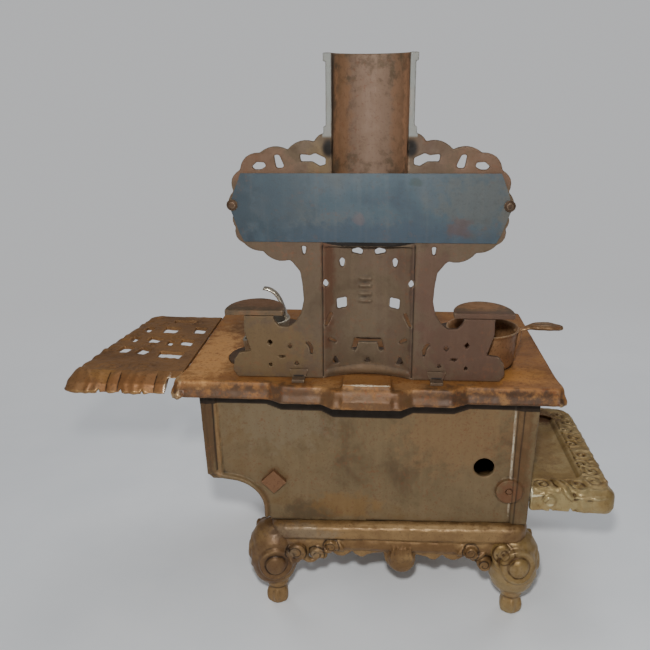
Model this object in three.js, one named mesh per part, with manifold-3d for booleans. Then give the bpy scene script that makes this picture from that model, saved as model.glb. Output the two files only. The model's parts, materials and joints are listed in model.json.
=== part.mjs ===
// A cast iron toy cooking range on four scroll feet, with a pierced flue back and half-round chimney
import * as THREE from "three";
import { mergeVertices } from "three/addons/utils/BufferGeometryUtils.js";
import Module from "manifold-3d";

const wasm = await Module();
wasm.setup();

// Overall sizes, in millimetres
const casting = 3;
const gap = 0.3;
const overrun = 2;
const weld = 0.0001;
const chimneyHeight = 171.5;

// Legs
const legSideInset = 3.7;
const legDepthInset = 9.8;
const legShift = 2.8;
const footRadius = 6.8;
const footHeight = 14;
const footToeRadius = 4.6;
const kneeRadius = 15;
const kneeHalfHeight = 20.5;
const kneeLap = 0.5;
const kneeHeight = footHeight + kneeHalfHeight - kneeLap;
const kneeSeat = 14.2;
const kneeBossRadius = 8;
const kneeBossRise = 1.2;
const kneeBossLift = 2;
const legTenonRadius = 6;

// Heights of the base, the doors and the top surface, one above the other
const baseHeight = 12.3;
const baseBottom = kneeHeight + kneeSeat;
const baseTop = baseBottom + baseHeight;
const ovenSill = 11.5;
const ovenDoorHeight = 56;
const ovenHead = 18.9;
const ovenDoorBottom = baseTop + ovenSill;
const bodyTop = ovenDoorBottom + ovenDoorHeight + ovenHead;
const topSurface = bodyTop + gap + casting;

// Rooms of the body, from the firebox end to the reservoir end
const fireboxRoom = 50.8;
const ovenDoorWidth = 78;
const linerMargin = 4;
const linerWall = 2.2;
const reservoirRoom = 40.8;
const ovenRoom = ovenDoorWidth + 2 * (linerMargin + linerWall);
const endInner = (fireboxRoom + ovenRoom + reservoirRoom) / 2;
const ovenDoorCentre = fireboxRoom + ovenRoom / 2 - endInner;
const basketCentre = fireboxRoom / 2 - endInner;

// Body
const bodyTaper = 2.5;
const bodyDepth = 123.6;
const bodyHalf = endInner + casting + bodyTaper;
const plateRear = bodyDepth / 2;
const plateInner = plateRear - casting;
const plateFoot = baseTop + gap;
const overhangRise = 23.5;
const overhangHeight = baseTop + overhangRise;
const overhangCurveWidth = 25;
const pilasterWidth = 9;
const pilasterRise = 1.5;

// Base frame
const baseProudEnd = 1.2;
const baseProudOven = 7;
const baseProudDepth = 6;
const baseCorner = 9;
const baseFloor = 3;
const baseLeft = -(endInner + casting + baseProudEnd);
const baseRight = endInner - reservoirRoom + baseProudOven;
const baseWidth = baseRight - baseLeft;
const baseOffset = (baseRight + baseLeft) / 2;
const baseDepth = bodyDepth + 2 * baseProudDepth;
const apronDrop = 11;
const apronThickness = 4;
const apronLobeDrop = 4;
const apronInset = 3;
const centreDropRadius = 8;
const centreDropDepth = 12;

// Top plate
const topProudEnd = 8.5;
const topProudDepth = 9;
const topWidth = 2 * (bodyHalf + topProudEnd);
const topDepth = bodyDepth + 2 * topProudDepth;
const skirtDrop = 9.5;
const skirtFlare = 3;
const topCorner = 3;
const bayHalfWidth = 54;
const bayStep = 5.2;
const bayRun = 8;
const centreBayHalfWidth = 24;
const centreBayStep = 6;
const centreBayRun = 7;
const smokeBoxHalfWidth = 13.2;
const smokeBoxRise = 3;
const smokeBoxInset = 2.9;

// Lid holes and lids
const lidEndInset = 6;
const lidRowInset = 9.8;
const lidRowWeb = 14;
const lidRadius = (plateInner - lidRowInset - lidRowWeb / 2) / 2;
const lidSeatWidth = 2.3;
const lidSeatDepth = 1.6;
const lidSpacing = endInner - lidEndInset - lidRadius;
const lidRowSpacing = 2 * lidRadius + lidRowWeb;
const lidNotchWidth = 4;
const lidNotchLength = 6;

// Flue back
const flueInset = 7.2;
const flueRear = topDepth / 2 - flueInset;
const flueFront = flueRear - casting;
const flueFoot = topSurface + gap;
const flueHalfWidth = 75;
const columnInner = 25.7;
const recessDepth = 9;
const chimneyRadius = 22.3;
const chimneyFoot = 75;
const chimneyTop = topSurface + chimneyHeight;
const scrollTop = 132.5;
const chimneyBandRise = 1.2;
const chimneyBandHeight = 4;

// Blued sheet and its rivets
const sheetThickness = 0.6;
const sheetBottom = 77.6;
const sheetTop = 113.3;
const sheetHalfWidth = 74;
const rivetRadius = 3.1;
const rivetRise = 1.5;
const rivetHeight = 97;
const rivetInset = 3.5;
const rivetSpacing = 2 * (flueHalfWidth - rivetInset);
const rivetHole = 1.4;

// Tea shelves
const teaShelfHalfWidth = 16.3;
const teaShelfDepth = 21;
const teaShelfThickness = 3;
const teaShelfInset = 12.4;
const teaShelfCentre = flueHalfWidth - teaShelfInset;

// Flue clips
const clipCentre = 38;
const clipHeadWidth = 10.5;
const clipStemWidth = 7;
const clipHeight = 5.6;
const clipThickness = 1.6;
const clipLength = 7.5;

// Warming closet in front of the flue
const closetInset = 11;
const closetHalfWidth = flueHalfWidth - closetInset;
const closetDepth = 32;
const closetBottom = 86;
const closetHeight = 22.5;
const closetWall = 2.4;
const closetDoorMargin = 6.5;
const closetCentreMargin = 3.7;
const closetCentreHalfWidth = chimneyRadius + closetCentreMargin;

// Doors and hinges
const doorThickness = 2.4;
const doorLap = 2;
const hingeRadius = 1.9;
const hingePinRadius = 0.9;
const knuckleHeight = 4;
const knobRadius = 2.8;
const knobLength = 4.5;
const knobStemRadius = 1.3;

// Firebox basket
const basketClear = 1.4;
const basketFlange = 4;
const basketRadius = fireboxRoom / 2 - basketFlange - basketClear;
const basketWall = 2;
const basketDrop = 29.9;
const basketAxisHeight = bodyTop - basketDrop;
const basketInset = 8.8;
const basketLength = 2 * (plateInner - basketInset);
const basketSlots = 8;
const basketSlotWidth = 5;
const ledgeThickness = 3;

// Small doors
const fireDoorWidth = 30;
const fireDoorHeight = 22;
const fireDoorShift = 3.4;
const fireDoorHead = 15.9;
const fireDoorCentre = basketCentre - fireDoorShift;
const fireDoorBottom = bodyTop - fireDoorHead - fireDoorHeight;
const ashDoorWidth = 22;
const ashDoorHeight = 20;
const ashDoorShift = 5.6;
const ashSill = 7.5;
const ashDoorCentre = basketCentre + ashDoorShift;
const ashDoorBottom = baseTop + ashSill;
const endDoorWidth = 46;
const endDoorHeight = 20;
const endDoorHead = 1.7;
const endDoorBottom = basketAxisHeight - basketWall - gap - ledgeThickness - endDoorHead - endDoorHeight;

// Oven liner and rack
const linerDepthGap = 0.9;
const rackLength = 92;
const rackThickness = 2;
const rackLedgeWidth = 4;
const rackLedgeRise = 24;
const rackLedgeHeight = ovenDoorBottom + rackLedgeRise;
const rackBars = 7;

// Rear plate details and tie rods
const peepHoleRadius = 5.9;
const peepHoleShift = 2.1;
const peepHoleRise = 36;
const peepHoleX = basketCentre - peepHoleShift;
const peepHoleHeight = baseTop + peepHoleRise;
const bossRadius = 7.6;
const bossRise = 1.2;
const bossInset = 8.6;
const bossLift = 22.2;
const bossX = bossInset - endInner;
const bossHeight = baseTop + bossLift;
const nutSide = 10.6;
const nutThickness = 3.4;
const nutInset = 4;
const nutLift = 0.5;
const nutX = endInner - reservoirRoom + nutInset;
const nutHeight = overhangHeight + nutLift;
const rodRadius = 1.7;
const rodHeadRadius = 4.2;
const rodHeadRise = 2;

// Side shelf
const shelfThickness = 2.5;
const shelfDrop = 1.5;
const shelfGap = 2.2;
const shelfRearInset = 16.8;
const shelfFrontInset = 18.8;
const shelfRear = topDepth / 2 - shelfRearInset;
const shelfFront = topDepth / 2 - shelfFrontInset;
const shelfReachRear = 63;
const shelfReachFront = 49;
const shelfRim = 9;
const shelfRimDrop = 9;
const shelfRimThickness = 3;
const shelfRimFlare = 6;
const shelfEndFlare = 12.5;
const shelfEndLeaves = 4;
const shelfSideLeaves = 7;
const rimNotchWidth = 4;
const rimNotchHeight = 2.5;
const socketInset = 8;
const socketSpacing = shelfRear + shelfFront - 2 * socketInset;
const tongueWidth = 4.4;
const tongueThickness = 2.1;
const tongueDrop = 6.5;
const tongueInset = 1.6;
const socketWall = 2;
const socketWidth = tongueWidth + 2 * (gap + socketWall);
const socketReach = shelfGap + tongueInset + tongueThickness + gap + socketWall;

// Hearth shelf
const hearthDrop = 10;
const hearthTop = endDoorBottom - hearthDrop;
const hearthInset = 4.8;
const hearthHalfLength = plateRear - hearthInset;
const hearthReach = 46;
const hearthThickness = 2.6;
const hearthRim = 2;
const hearthRimDrop = 11;
const hearthBorder = 11.5;
const hearthEndLeaves = 4;
const hearthSideLeaves = 9;
const hearthTongue = 8;
const hearthSocketWall = 2.5;
const hearthSocketWidth = tongueWidth + 2 * (gap + hearthSocketWall);

// Saucepan
const panShiftX = 2;
const panShiftY = 4;
const panX = -lidSpacing - panShiftX;
const panY = lidRowSpacing / 2 + panShiftY;
const panRimRadius = 21;
const panFootRadius = 18.4;
const panFootRound = 1.5;
const panHeight = 22;
const panWall = 1.6;
const panRimRoll = 0.8;
const panHandleLength = 27;
const panHandleWidth = 7;
const panHandleThickness = 2.6;

// Coal scuttle
const scuttleShiftX = 3;
const scuttleShiftY = 9;
const scuttleX = lidSpacing - scuttleShiftX;
const scuttleY = lidRowSpacing / 2 + scuttleShiftY;
const scuttleFootRadius = 11;
const scuttleRimRadius = 15.5;
const scuttleHeight = 27;
const scuttleLip = 11;
const scuttleWall = 1.4;
const scuttleHandleWidth = 5;
const scuttleHandleThickness = 1.6;
const scuttleHandleRise = 20;
const scuttleHandleReach = 14;

// Closed mesh to solid and back
function solid(geometry) {
  const bare = geometry.clone();
  bare.deleteAttribute("normal");
  bare.deleteAttribute("uv");
  const merged = mergeVertices(bare, weld);
  const corners = merged.index.array;
  const kept = [];
  for (let i = 0; i < corners.length; i += 3) {
    const [a, b, c] = [corners[i], corners[i + 1], corners[i + 2]];
    if (a !== b && b !== c && c !== a) kept.push(a, b, c);
  }
  const vertProperties = Float32Array.from(merged.attributes.position.array);
  return new wasm.Manifold(new wasm.Mesh({ numProp: 3, vertProperties, triVerts: Uint32Array.from(kept) }));
}

function join(first, ...others) {
  return others.reduce((whole, part) => whole.add(part), first);
}

function cut(whole, ...tools) {
  return tools.reduce((rest, tool) => rest.subtract(tool), whole);
}

// Prism between two places on an axis: an outline is (x, y) along z, (x, z) along y and (y, z) along x
function prism(axis, points, low, high, holes = []) {
  const shape = new THREE.Shape(points.map(([u, v]) => new THREE.Vector2(u, v)));
  const geometry = new THREE.ExtrudeGeometry(shape, { depth: high - low, bevelEnabled: false });
  if (axis === "z") geometry.translate(0, 0, low);
  if (axis === "y") geometry.rotateX(Math.PI / 2).translate(0, high, 0);
  if (axis === "x") {
    const turn = new THREE.Matrix4().makeBasis(
      new THREE.Vector3(0, 1, 0), new THREE.Vector3(0, 0, 1), new THREE.Vector3(1, 0, 0));
    geometry.applyMatrix4(turn).translate(low, 0, 0);
  }
  return cut(solid(geometry), ...holes.map((hole) => prism(axis, hole, low - overrun, high + overrun)));
}

function block(x0, x1, y0, y1, z0, z1) {
  const box = new THREE.BoxGeometry(x1 - x0, y1 - y0, z1 - z0);
  return solid(box.translate((x0 + x1) / 2, (y0 + y1) / 2, (z0 + z1) / 2));
}

// Solid of revolution about a line through (x, y, z) along an axis: the profile is (radius, distance)
function turned(axis, profile, x, y, z, segments = 16) {
  const points = profile.map(([r, h]) => new THREE.Vector2(r, h));
  const geometry = new THREE.LatheGeometry(points, segments);
  if (axis === "z") geometry.rotateX(Math.PI / 2);
  if (axis === "x") geometry.rotateZ(-Math.PI / 2);
  return solid(geometry.translate(x, y, z));
}

function rod(axis, radius, low, high, u, v, segments = 12) {
  const profile = [[0, low], [radius, low], [radius, high], [0, high]];
  if (axis === "z") return turned("z", profile, u, v, 0, segments);
  if (axis === "y") return turned("y", profile, u, 0, v, segments);
  return turned("x", profile, 0, u, v, segments);
}

// Points on an arc of an ellipse, both ends included
function arc(cx, cy, rx, ry, from, to, steps) {
  const points = [];
  for (let i = 0; i <= steps; i += 1) {
    const angle = from + (to - from) * i / steps;
    points.push([cx + rx * Math.cos(angle), cy + ry * Math.sin(angle)]);
  }
  return points;
}

function rectangle(u0, u1, v0, v1) {
  return [[u0, v0], [u1, v0], [u1, v1], [u0, v1]];
}

// Lobe between two cusps, bulging to the right of the way from one to the other, without its last point
function lobe([u0, v0], [u1, v1], bulge, steps = 6) {
  const points = [];
  for (let i = 0; i < steps; i += 1) {
    const along = i / steps;
    const out = 4 * bulge * along * (1 - along);
    points.push([u0 + (u1 - u0) * along + (v1 - v0) * out, v0 + (v1 - v0) * along - (u1 - u0) * out]);
  }
  return points;
}

function mirrored(points) {
  return points.map(([u, v]) => [-u, v]).reverse();
}

// Closed surface through rings of points [x, y, z], each with as many points, capped at both ends
function loft(rings) {
  const count = rings[0].length;
  const positions = rings.flat(2);
  const faces = [];
  for (let r = 0; r + 1 < rings.length; r += 1) {
    for (let i = 0; i < count; i += 1) {
      const next = (i + 1) % count;
      const [a, b] = [r * count + i, r * count + next];
      const [c, d] = [a + count, b + count];
      faces.push(a, c, b, b, c, d);
    }
  }
  const caps = [[rings[0], 0, false], [rings[rings.length - 1], (rings.length - 1) * count, true]];
  for (const [outline, start, flip] of caps) {
    const flat = outline.map(([x, y]) => new THREE.Vector2(x, y));
    for (const [a, b, c] of THREE.ShapeUtils.triangulateShape(flat, [])) {
      if (flip) faces.push(start + a, start + c, start + b);
      else faces.push(start + a, start + b, start + c);
    }
  }
  const geometry = new THREE.BufferGeometry();
  geometry.setAttribute("position", new THREE.Float32BufferAttribute(positions, 3));
  geometry.setIndex(faces);
  return solid(geometry);
}

// Outline moved outward by a distance, its corners kept sharp; outlines run anticlockwise
function offset(points, distance) {
  return points.map(([u, v], i) => {
    const [pu, pv] = points[(i + points.length - 1) % points.length];
    const [nu, nv] = points[(i + 1) % points.length];
    const before = new THREE.Vector2(v - pv, pu - u).normalize();
    const after = new THREE.Vector2(nv - v, u - nu).normalize();
    const middle = before.clone().add(after);
    const reach = distance / (1 + before.dot(after));
    return [u + middle.x * reach, v + middle.y * reach];
  });
}

// Lofted moulding: an outline followed down a profile of [outward offset, height]
function moulding(outline, profile) {
  return loft(profile.map(([out, z]) => offset(outline, out).map(([u, v]) => [u, v, z])));
}

function roundedRectangle(x0, x1, y0, y1, radius, steps = 3) {
  const quarter = Math.PI / 2;
  return [
    ...arc(x1 - radius, y0 + radius, radius, radius, -quarter, 0, steps),
    ...arc(x1 - radius, y1 - radius, radius, radius, 0, quarter, steps),
    ...arc(x0 + radius, y1 - radius, radius, radius, quarter, 2 * quarter, steps),
    ...arc(x0 + radius, y0 + radius, radius, radius, 2 * quarter, 3 * quarter, steps),
  ];
}

// Finishes
const finishes = {
  top: new THREE.MeshStandardMaterial({ color: 0x9a6232, roughness: 0.62, metalness: 0.55 }),
  body: new THREE.MeshStandardMaterial({ color: 0x7d6645, roughness: 0.6, metalness: 0.55 }),
  flue: new THREE.MeshStandardMaterial({ color: 0x7a6353, roughness: 0.68, metalness: 0.45 }),
  base: new THREE.MeshStandardMaterial({ color: 0x86643a, roughness: 0.5, metalness: 0.6 }),
  brass: new THREE.MeshStandardMaterial({ color: 0x9c8348, roughness: 0.42, metalness: 0.75 }),
  shelf: new THREE.MeshStandardMaterial({ color: 0x8a5f36, roughness: 0.55, metalness: 0.55 }),
  blued: new THREE.MeshStandardMaterial({ color: 0x566673, roughness: 0.4, metalness: 0.8 }),
  iron: new THREE.MeshStandardMaterial({ color: 0x4a4038, roughness: 0.7, metalness: 0.5 }),
  steel: new THREE.MeshStandardMaterial({ color: 0x8f8a84, roughness: 0.45, metalness: 0.85 }),
};

const stove = new THREE.Group();
const solids = {};

function piece(name, part, finish) {
  const { vertProperties, triVerts } = part.getMesh();
  const geometry = new THREE.BufferGeometry();
  geometry.setAttribute("position", new THREE.BufferAttribute(vertProperties, 3));
  geometry.setIndex(new THREE.BufferAttribute(triVerts, 1));
  geometry.computeVertexNormals();
  const mesh = new THREE.Mesh(geometry, finishes[finish]);
  mesh.name = name;
  stove.add(mesh);
  solids[name] = part;
  return mesh;
}

// Base frame: a half-round plinth moulding with a floor, and scalloped aprons under it
const apronLobeShares = [0, 0.1, 0.2, 0.3, 0.38];

function apronOutline(halfLength, centre, top, drop, lobeDrop, centreRadius, centreDepth) {
  const low = top - drop;
  const cusps = apronLobeShares.map((share) => [-halfLength + share * 2 * halfLength, low]);
  const left = [];
  for (let i = 0; i + 1 < cusps.length; i += 1) {
    left.push(...lobe(cusps[i], cusps[i + 1], lobeDrop / (cusps[i + 1][0] - cusps[i][0])));
  }
  const middle = centreDepth > 0
    ? arc(0, low, centreRadius, centreDepth, Math.PI, 2 * Math.PI, 6)
    : lobe(cusps[cusps.length - 1], [-cusps[cusps.length - 1][0], low], lobeDrop / (2 * halfLength));
  const right = mirrored(left);
  const points = [[-halfLength, top], ...left, ...middle, ...right, [halfLength, top]];
  return points.map(([u, v]) => [u + centre, v]);
}

function baseFrame() {
  const outline = roundedRectangle(baseLeft, baseRight, -baseDepth / 2, baseDepth / 2, baseCorner);
  const height = baseTop - baseBottom;
  const bead = height / 4;
  const rim = moulding(outline, [
    [-bead, baseTop], [-bead / 4, baseTop - bead / 2], [0, baseTop - bead], [0, baseBottom + bead],
    [-bead / 2, baseBottom + bead / 4], [-bead, baseBottom], [-bead - casting, baseBottom],
    [-bead - casting, baseTop - baseFloor],
  ]);
  const apronFace = baseDepth / 2 - apronInset;
  const apronHalf = baseWidth / 2 - baseCorner;
  const endHalf = baseDepth / 2 - baseCorner;
  const long = apronOutline(
    apronHalf, baseOffset, baseBottom + overrun, apronDrop, apronLobeDrop, centreDropRadius, centreDropDepth);
  const short = apronOutline(endHalf, 0, baseBottom + overrun, apronDrop, apronLobeDrop, 0, 0);
  const endFace = baseWidth / 2 - apronInset;
  return join(
    rim,
    prism("y", long, apronFace - apronThickness, apronFace),
    prism("y", long, -apronFace, -apronFace + apronThickness),
    prism("x", short, baseOffset + endFace - apronThickness, baseOffset + endFace),
    prism("x", short, baseOffset - endFace, baseOffset - endFace + apronThickness),
  );
}

const base = baseFrame();
piece("base_frame", base, "base");

// Legs: an egg-shaped scroll knee with bosses on its two outer faces, over a small turned foot
function leg(x, y) {
  const outX = Math.sign(x - baseOffset);
  const outY = Math.sign(y);
  const knee = solid(new THREE.SphereGeometry(1, 20, 14).rotateX(Math.PI / 2)
    .scale(kneeRadius, kneeRadius, kneeHalfHeight).translate(x, y, kneeHeight));
  const boss = [[0, 0], [kneeBossRadius, 0], [kneeBossRadius, kneeRadius],
    [kneeBossRadius / 2, kneeRadius + kneeBossRise], [0, kneeRadius + kneeBossRise]];
  const turnedBoss = (axis, sign) => turned(
    axis, sign > 0 ? boss : boss.map(([r, h]) => [r, -h]).reverse(), x, y, kneeHeight + kneeBossLift, 14);
  const foot = turned("z", [
    [0, 0], [footToeRadius, 0], [footRadius, footHeight / 4], [footRadius, footHeight / 2],
    [footToeRadius, footHeight], [footToeRadius, footHeight + footToeRadius], [0, footHeight + footToeRadius],
  ], x, y, 0, 12);
  const seat = rod("z", legTenonRadius, kneeHeight, baseTop - baseFloor - gap,
    x - outX * legTenonRadius, y - outY * legTenonRadius, 10);
  const whole = join(knee, turnedBoss("y", outY), turnedBoss("x", outX), foot, seat);
  return cut(whole, baseEnvelope);
}

function grownBase() {
  const outline = roundedRectangle(baseLeft, baseRight, -baseDepth / 2, baseDepth / 2, baseCorner);
  const height = baseTop - baseBottom;
  const bead = height / 4;
  const shell = moulding(outline, [
    [gap, baseTop + overrun], [gap, baseBottom + bead], [gap - bead / 2, baseBottom + bead / 4 - gap],
    [gap - bead, baseBottom - gap], [-bead - casting - gap, baseBottom - gap],
    [-bead - casting - gap, baseTop - baseFloor - gap],
  ]);
  const apronHalf = baseWidth / 2 - baseCorner + gap;
  const endHalf = baseDepth / 2 - baseCorner + gap;
  const apronFace = baseDepth / 2 - apronInset + gap;
  const endFace = baseWidth / 2 - apronInset + gap;
  const thickness = apronThickness + 2 * gap;
  const low = baseBottom - apronDrop - apronLobeDrop;
  const longBar = (y0, y1) => block(baseOffset - apronHalf, baseOffset + apronHalf, y0, y1, low, baseTop);
  const shortBar = (x0, x1) => block(x0, x1, -endHalf, endHalf, low, baseTop);
  return join(
    shell,
    longBar(apronFace - thickness, apronFace),
    longBar(-apronFace, -apronFace + thickness),
    shortBar(baseOffset + endFace - thickness, baseOffset + endFace),
    shortBar(baseOffset - endFace, baseOffset - endFace + thickness),
  );
}

const baseEnvelope = grownBase();
for (const [name, sideX, sideY] of [
  ["leg_rear_reservoir_end", 1, 1], ["leg_rear_firebox_end", -1, 1],
  ["leg_front_reservoir_end", 1, -1], ["leg_front_firebox_end", -1, -1],
]) {
  const x = baseOffset + legShift + sideX * (baseWidth / 2 - legSideInset);
  const y = sideY * (baseDepth / 2 - legDepthInset);
  piece(name, leg(x, y), sideX > 0 ? "base" : "brass");
}

// Front and back plates share an outline, with the overhang under the reservoir end
function plateOutline(low) {
  const bottomHalf = bodyHalf - bodyTaper;
  const curveCentre = baseRight + overhangCurveWidth;
  const rise = overhangHeight - low;
  return [
    [-bottomHalf, low],
    ...arc(curveCentre, low, overhangCurveWidth, rise, Math.PI, Math.PI / 2, 8),
    [bottomHalf - casting, overhangHeight],
    [bottomHalf, overhangHeight + casting],
    [bodyHalf, bodyTop],
    [-bodyHalf, bodyTop],
  ];
}

function pilasters(y0, y1) {
  const bottomHalf = bodyHalf - bodyTaper;
  const left = [[-bottomHalf, plateFoot], [-bottomHalf + pilasterWidth, plateFoot],
    [-bodyHalf + pilasterWidth, bodyTop], [-bodyHalf, bodyTop]];
  const right = [[bottomHalf - pilasterWidth, overhangHeight + casting],
    [bottomHalf, overhangHeight + casting], [bodyHalf, bodyTop], [bodyHalf - pilasterWidth, bodyTop]];
  return [prism("y", left, y0, y1), prism("y", right, y0, y1)];
}

function backPlate() {
  const plate = prism("y", plateOutline(plateFoot), plateInner, plateRear);
  const boss = rod("y", bossRadius, plateInner, plateRear + pilasterRise + bossRise, bossX, bossHeight, 16);
  return cut(
    join(plate, ...pilasters(plateInner, plateRear + pilasterRise), boss),
    rod("y", peepHoleRadius, plateInner - overrun, plateRear + overrun, peepHoleX, peepHoleHeight, 16),
    rod("y", rodRadius + gap, plateInner - overrun, plateRear + overrun + bossRise + pilasterRise,
      bossX, bossHeight),
    rod("y", rodRadius + gap, plateInner - overrun, plateRear + overrun, nutX, nutHeight),
  );
}

piece("back_plate", backPlate(), "body");

// Door openings in the front plate: [name, centre, width, bottom, height, side of the hinge]
const frontDoors = [
  ["oven_door", ovenDoorCentre, ovenDoorWidth, ovenDoorBottom, ovenDoorHeight, 1],
  ["firebox_door", fireDoorCentre, fireDoorWidth, fireDoorBottom, fireDoorHeight, 1],
  ["ash_door", ashDoorCentre, ashDoorWidth, ashDoorBottom, ashDoorHeight, 1],
];

// Hinge: knuckles at the two ends of an axis along z, standing off a face, with one pin through both
const hingeOut = hingeRadius + gap;
const hingeSide = doorLap + hingeRadius + gap;

function knuckleBlanks(x, y, low, high, reachX, reachY) {
  const spans = [[low, low + knuckleHeight], [high - knuckleHeight, high]];
  return spans.map(([z0, z1]) => join(
    rod("z", hingeRadius, z0, z1, x, y, 10),
    block(Math.min(x, reachX), Math.max(x, reachX), Math.min(y, reachY), Math.max(y, reachY), z0, z1),
  ));
}

function hingeBore(x, y, low, high) {
  return rod("z", hingePinRadius + gap, low - overrun, high + overrun, x, y, 8);
}

function hingePin(x, y, low, high) {
  return rod("z", hingePinRadius, low - knobStemRadius, high + knobStemRadius, x, y, 8);
}

function frontPlate() {
  const openings = frontDoors.map(([, centre, width, bottom, height]) => rectangle(
    centre - width / 2, centre + width / 2, bottom, bottom + height));
  let plate = prism("y", plateOutline(plateFoot), -plateRear, -plateInner, openings);
  plate = join(plate, ...pilasters(-plateRear - pilasterRise, -plateInner));
  for (const [, centre, width, bottom, height, side] of frontDoors) {
    const hingeX = centre + side * (width / 2 + hingeSide);
    const hingeY = -plateRear - hingeOut;
    const blanks = knuckleBlanks(hingeX, hingeY, bottom, bottom + height,
      hingeX + side * hingeRadius, -plateInner);
    plate = cut(join(plate, ...blanks), hingeBore(hingeX, hingeY, bottom, bottom + height));
  }
  const boss = rod("y", bossRadius, -plateRear - pilasterRise - bossRise, -plateInner, bossX, bossHeight, 16);
  return cut(
    join(plate, boss),
    rod("y", rodRadius + gap, -plateRear - pilasterRise - bossRise - overrun, -plateInner + overrun,
      bossX, bossHeight),
    rod("y", rodRadius + gap, -plateRear - overrun, -plateInner + overrun, nutX, nutHeight),
  );
}

piece("front_plate", frontPlate(), "body");

// Door that laps its opening, with its own knuckle between those of the plate
function doorPanel(centre, width, bottom, height, side, face) {
  const half = width / 2 + doorLap;
  const inner = face - gap;
  const outer = inner - doorThickness;
  const border = doorLap + doorThickness;
  const hingeX = centre + side * (width / 2 + hingeSide);
  const hingeY = face - hingeOut;
  const low = bottom + knuckleHeight + gap;
  const high = bottom + height - knuckleHeight - gap;
  const panel = join(
    block(centre - half, centre + half, outer, inner, bottom - doorLap, bottom + height + doorLap),
    cut(
      block(centre - half, centre + half, outer - pilasterRise, outer, bottom - doorLap,
        bottom + height + doorLap),
      block(centre - half + border, centre + half - border, outer - 2 * pilasterRise, outer,
        bottom - doorLap + border, bottom + height + doorLap - border),
    ),
  );
  const edge = centre + side * half;
  const clearing = block(Math.min(edge, edge - side * gap), Math.max(edge, edge - side * gap),
    outer - 2 * pilasterRise, inner, bottom - 2 * doorLap, bottom + height + 2 * doorLap);
  const knuckle = join(
    rod("z", hingeRadius, low, high, hingeX, hingeY, 10),
    block(Math.min(hingeX, edge - side * border), Math.max(hingeX, edge - side * border),
      hingeY - hingeRadius / 2, hingeY + hingeRadius / 2, low, high),
  );
  return cut(join(cut(panel, clearing), knuckle), hingeBore(hingeX, hingeY, low, high));
}

function knob(x, y, z) {
  return turned("y", [
    [0, 0], [knobStemRadius, 0], [knobStemRadius, -knobLength / 3], [knobRadius, -knobLength / 2],
    [knobRadius, -knobLength * 3 / 4], [knobRadius / 2, -knobLength], [0, -knobLength],
  ].reverse(), x, y, z, 12);
}

for (const [name, centre, width, bottom, height, side] of frontDoors) {
  const panel = doorPanel(centre, width, bottom, height, side, -plateRear);
  const knobX = centre - side * (width / 2 - knobRadius);
  const knobZ = bottom + height / 2;
  const face = -plateRear - gap - doorThickness;
  const boss = rod("y", knobRadius, face - pilasterRise, face + pilasterRise, knobX, knobZ, 12);
  piece(name, join(panel, boss), "body");
  piece(`${name}_knob`, knob(knobX, face - pilasterRise - gap, knobZ), "brass");
  const hingeX = centre + side * (width / 2 + hingeSide);
  piece(`${name}_hinge_pin`, hingePin(hingeX, -plateRear - hingeOut, bottom, bottom + height), "steel");
}

// End plate at the firebox end, with a draught opening over the hearth shelf
const firebox = { outer: -(endInner + casting), inner: -endInner };
const endHalf = plateInner - gap;
const hingeEndX = firebox.outer - hingeOut;

const endHingeY = -(endDoorWidth / 2 + hingeSide);

function basketLedge(x0, x1) {
  const z = basketAxisHeight - basketWall - gap;
  return block(x0, x1, -basketLength / 2, basketLength / 2, z - ledgeThickness, z);
}

function sockets(outer, reach, top, drop, width, spacing, tongueX, sign) {
  return [-1, 1].map((side) => {
    const y = side * spacing / 2;
    const x = outer + sign * reach;
    const body = block(Math.min(outer - sign * overrun, x), Math.max(outer - sign * overrun, x),
      y - width / 2, y + width / 2, top - drop, top);
    const far = tongueX + sign * tongueThickness;
    const slot = block(Math.min(tongueX, far) - gap, Math.max(tongueX, far) + gap,
      y - tongueWidth / 2 - gap, y + tongueWidth / 2 + gap, top - drop - overrun, top + overrun);
    return cut(body, slot);
  });
}

function fireboxEnd() {
  const half = endDoorWidth / 2;
  const opening = rectangle(-half, half, endDoorBottom, endDoorBottom + endDoorHeight);
  const plate = prism("x", rectangle(-endHalf, endHalf, plateFoot, bodyTop), firebox.outer, firebox.inner,
    [opening]);
  const blanks = [[endDoorBottom, endDoorBottom + knuckleHeight],
    [endDoorBottom + endDoorHeight - knuckleHeight, endDoorBottom + endDoorHeight]].map(([z0, z1]) => join(
    rod("z", hingeRadius, z0, z1, hingeEndX, endHingeY, 10),
    block(hingeEndX, firebox.inner, endHingeY - hingeRadius, endHingeY, z0, z1),
  ));
  const ledge = basketLedge(firebox.inner - casting / 2, basketCentre - basketRadius - gap);
  return cut(join(plate, ...blanks, ledge, ...hearthSockets()),
    hingeBore(hingeEndX, endHingeY, endDoorBottom, endDoorBottom + endDoorHeight));
}

// Hearth sockets: pockets open outward, which hold the two tongues of the shelf
const hearthSocketSpacing = hearthHalfLength + hearthSocketWidth;
const hearthInner = firebox.outer - shelfGap;

function hearthSockets() {
  return [-1, 1].map((side) => {
    const y = side * hearthSocketSpacing / 2;
    const middle = hearthTop - hearthThickness - tongueThickness;
    const half = hearthSocketWidth / 2;
    const pocket = tongueThickness / 2 + gap;
    const body = block(firebox.outer - shelfGap + gap, firebox.outer + overrun / 2, y - half, y + half,
      middle - pocket - tongueThickness / 2, middle + pocket + tongueThickness / 2);
    const slot = block(firebox.outer - shelfGap, firebox.inner + overrun, y - tongueWidth / 2 - gap,
      y + tongueWidth / 2 + gap, middle - pocket, middle + pocket);
    return cut(join(body, block(firebox.inner, firebox.inner + tongueThickness, y - half, y + half,
      middle - pocket - tongueThickness, middle + pocket + tongueThickness)), slot);
  });
}

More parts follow.
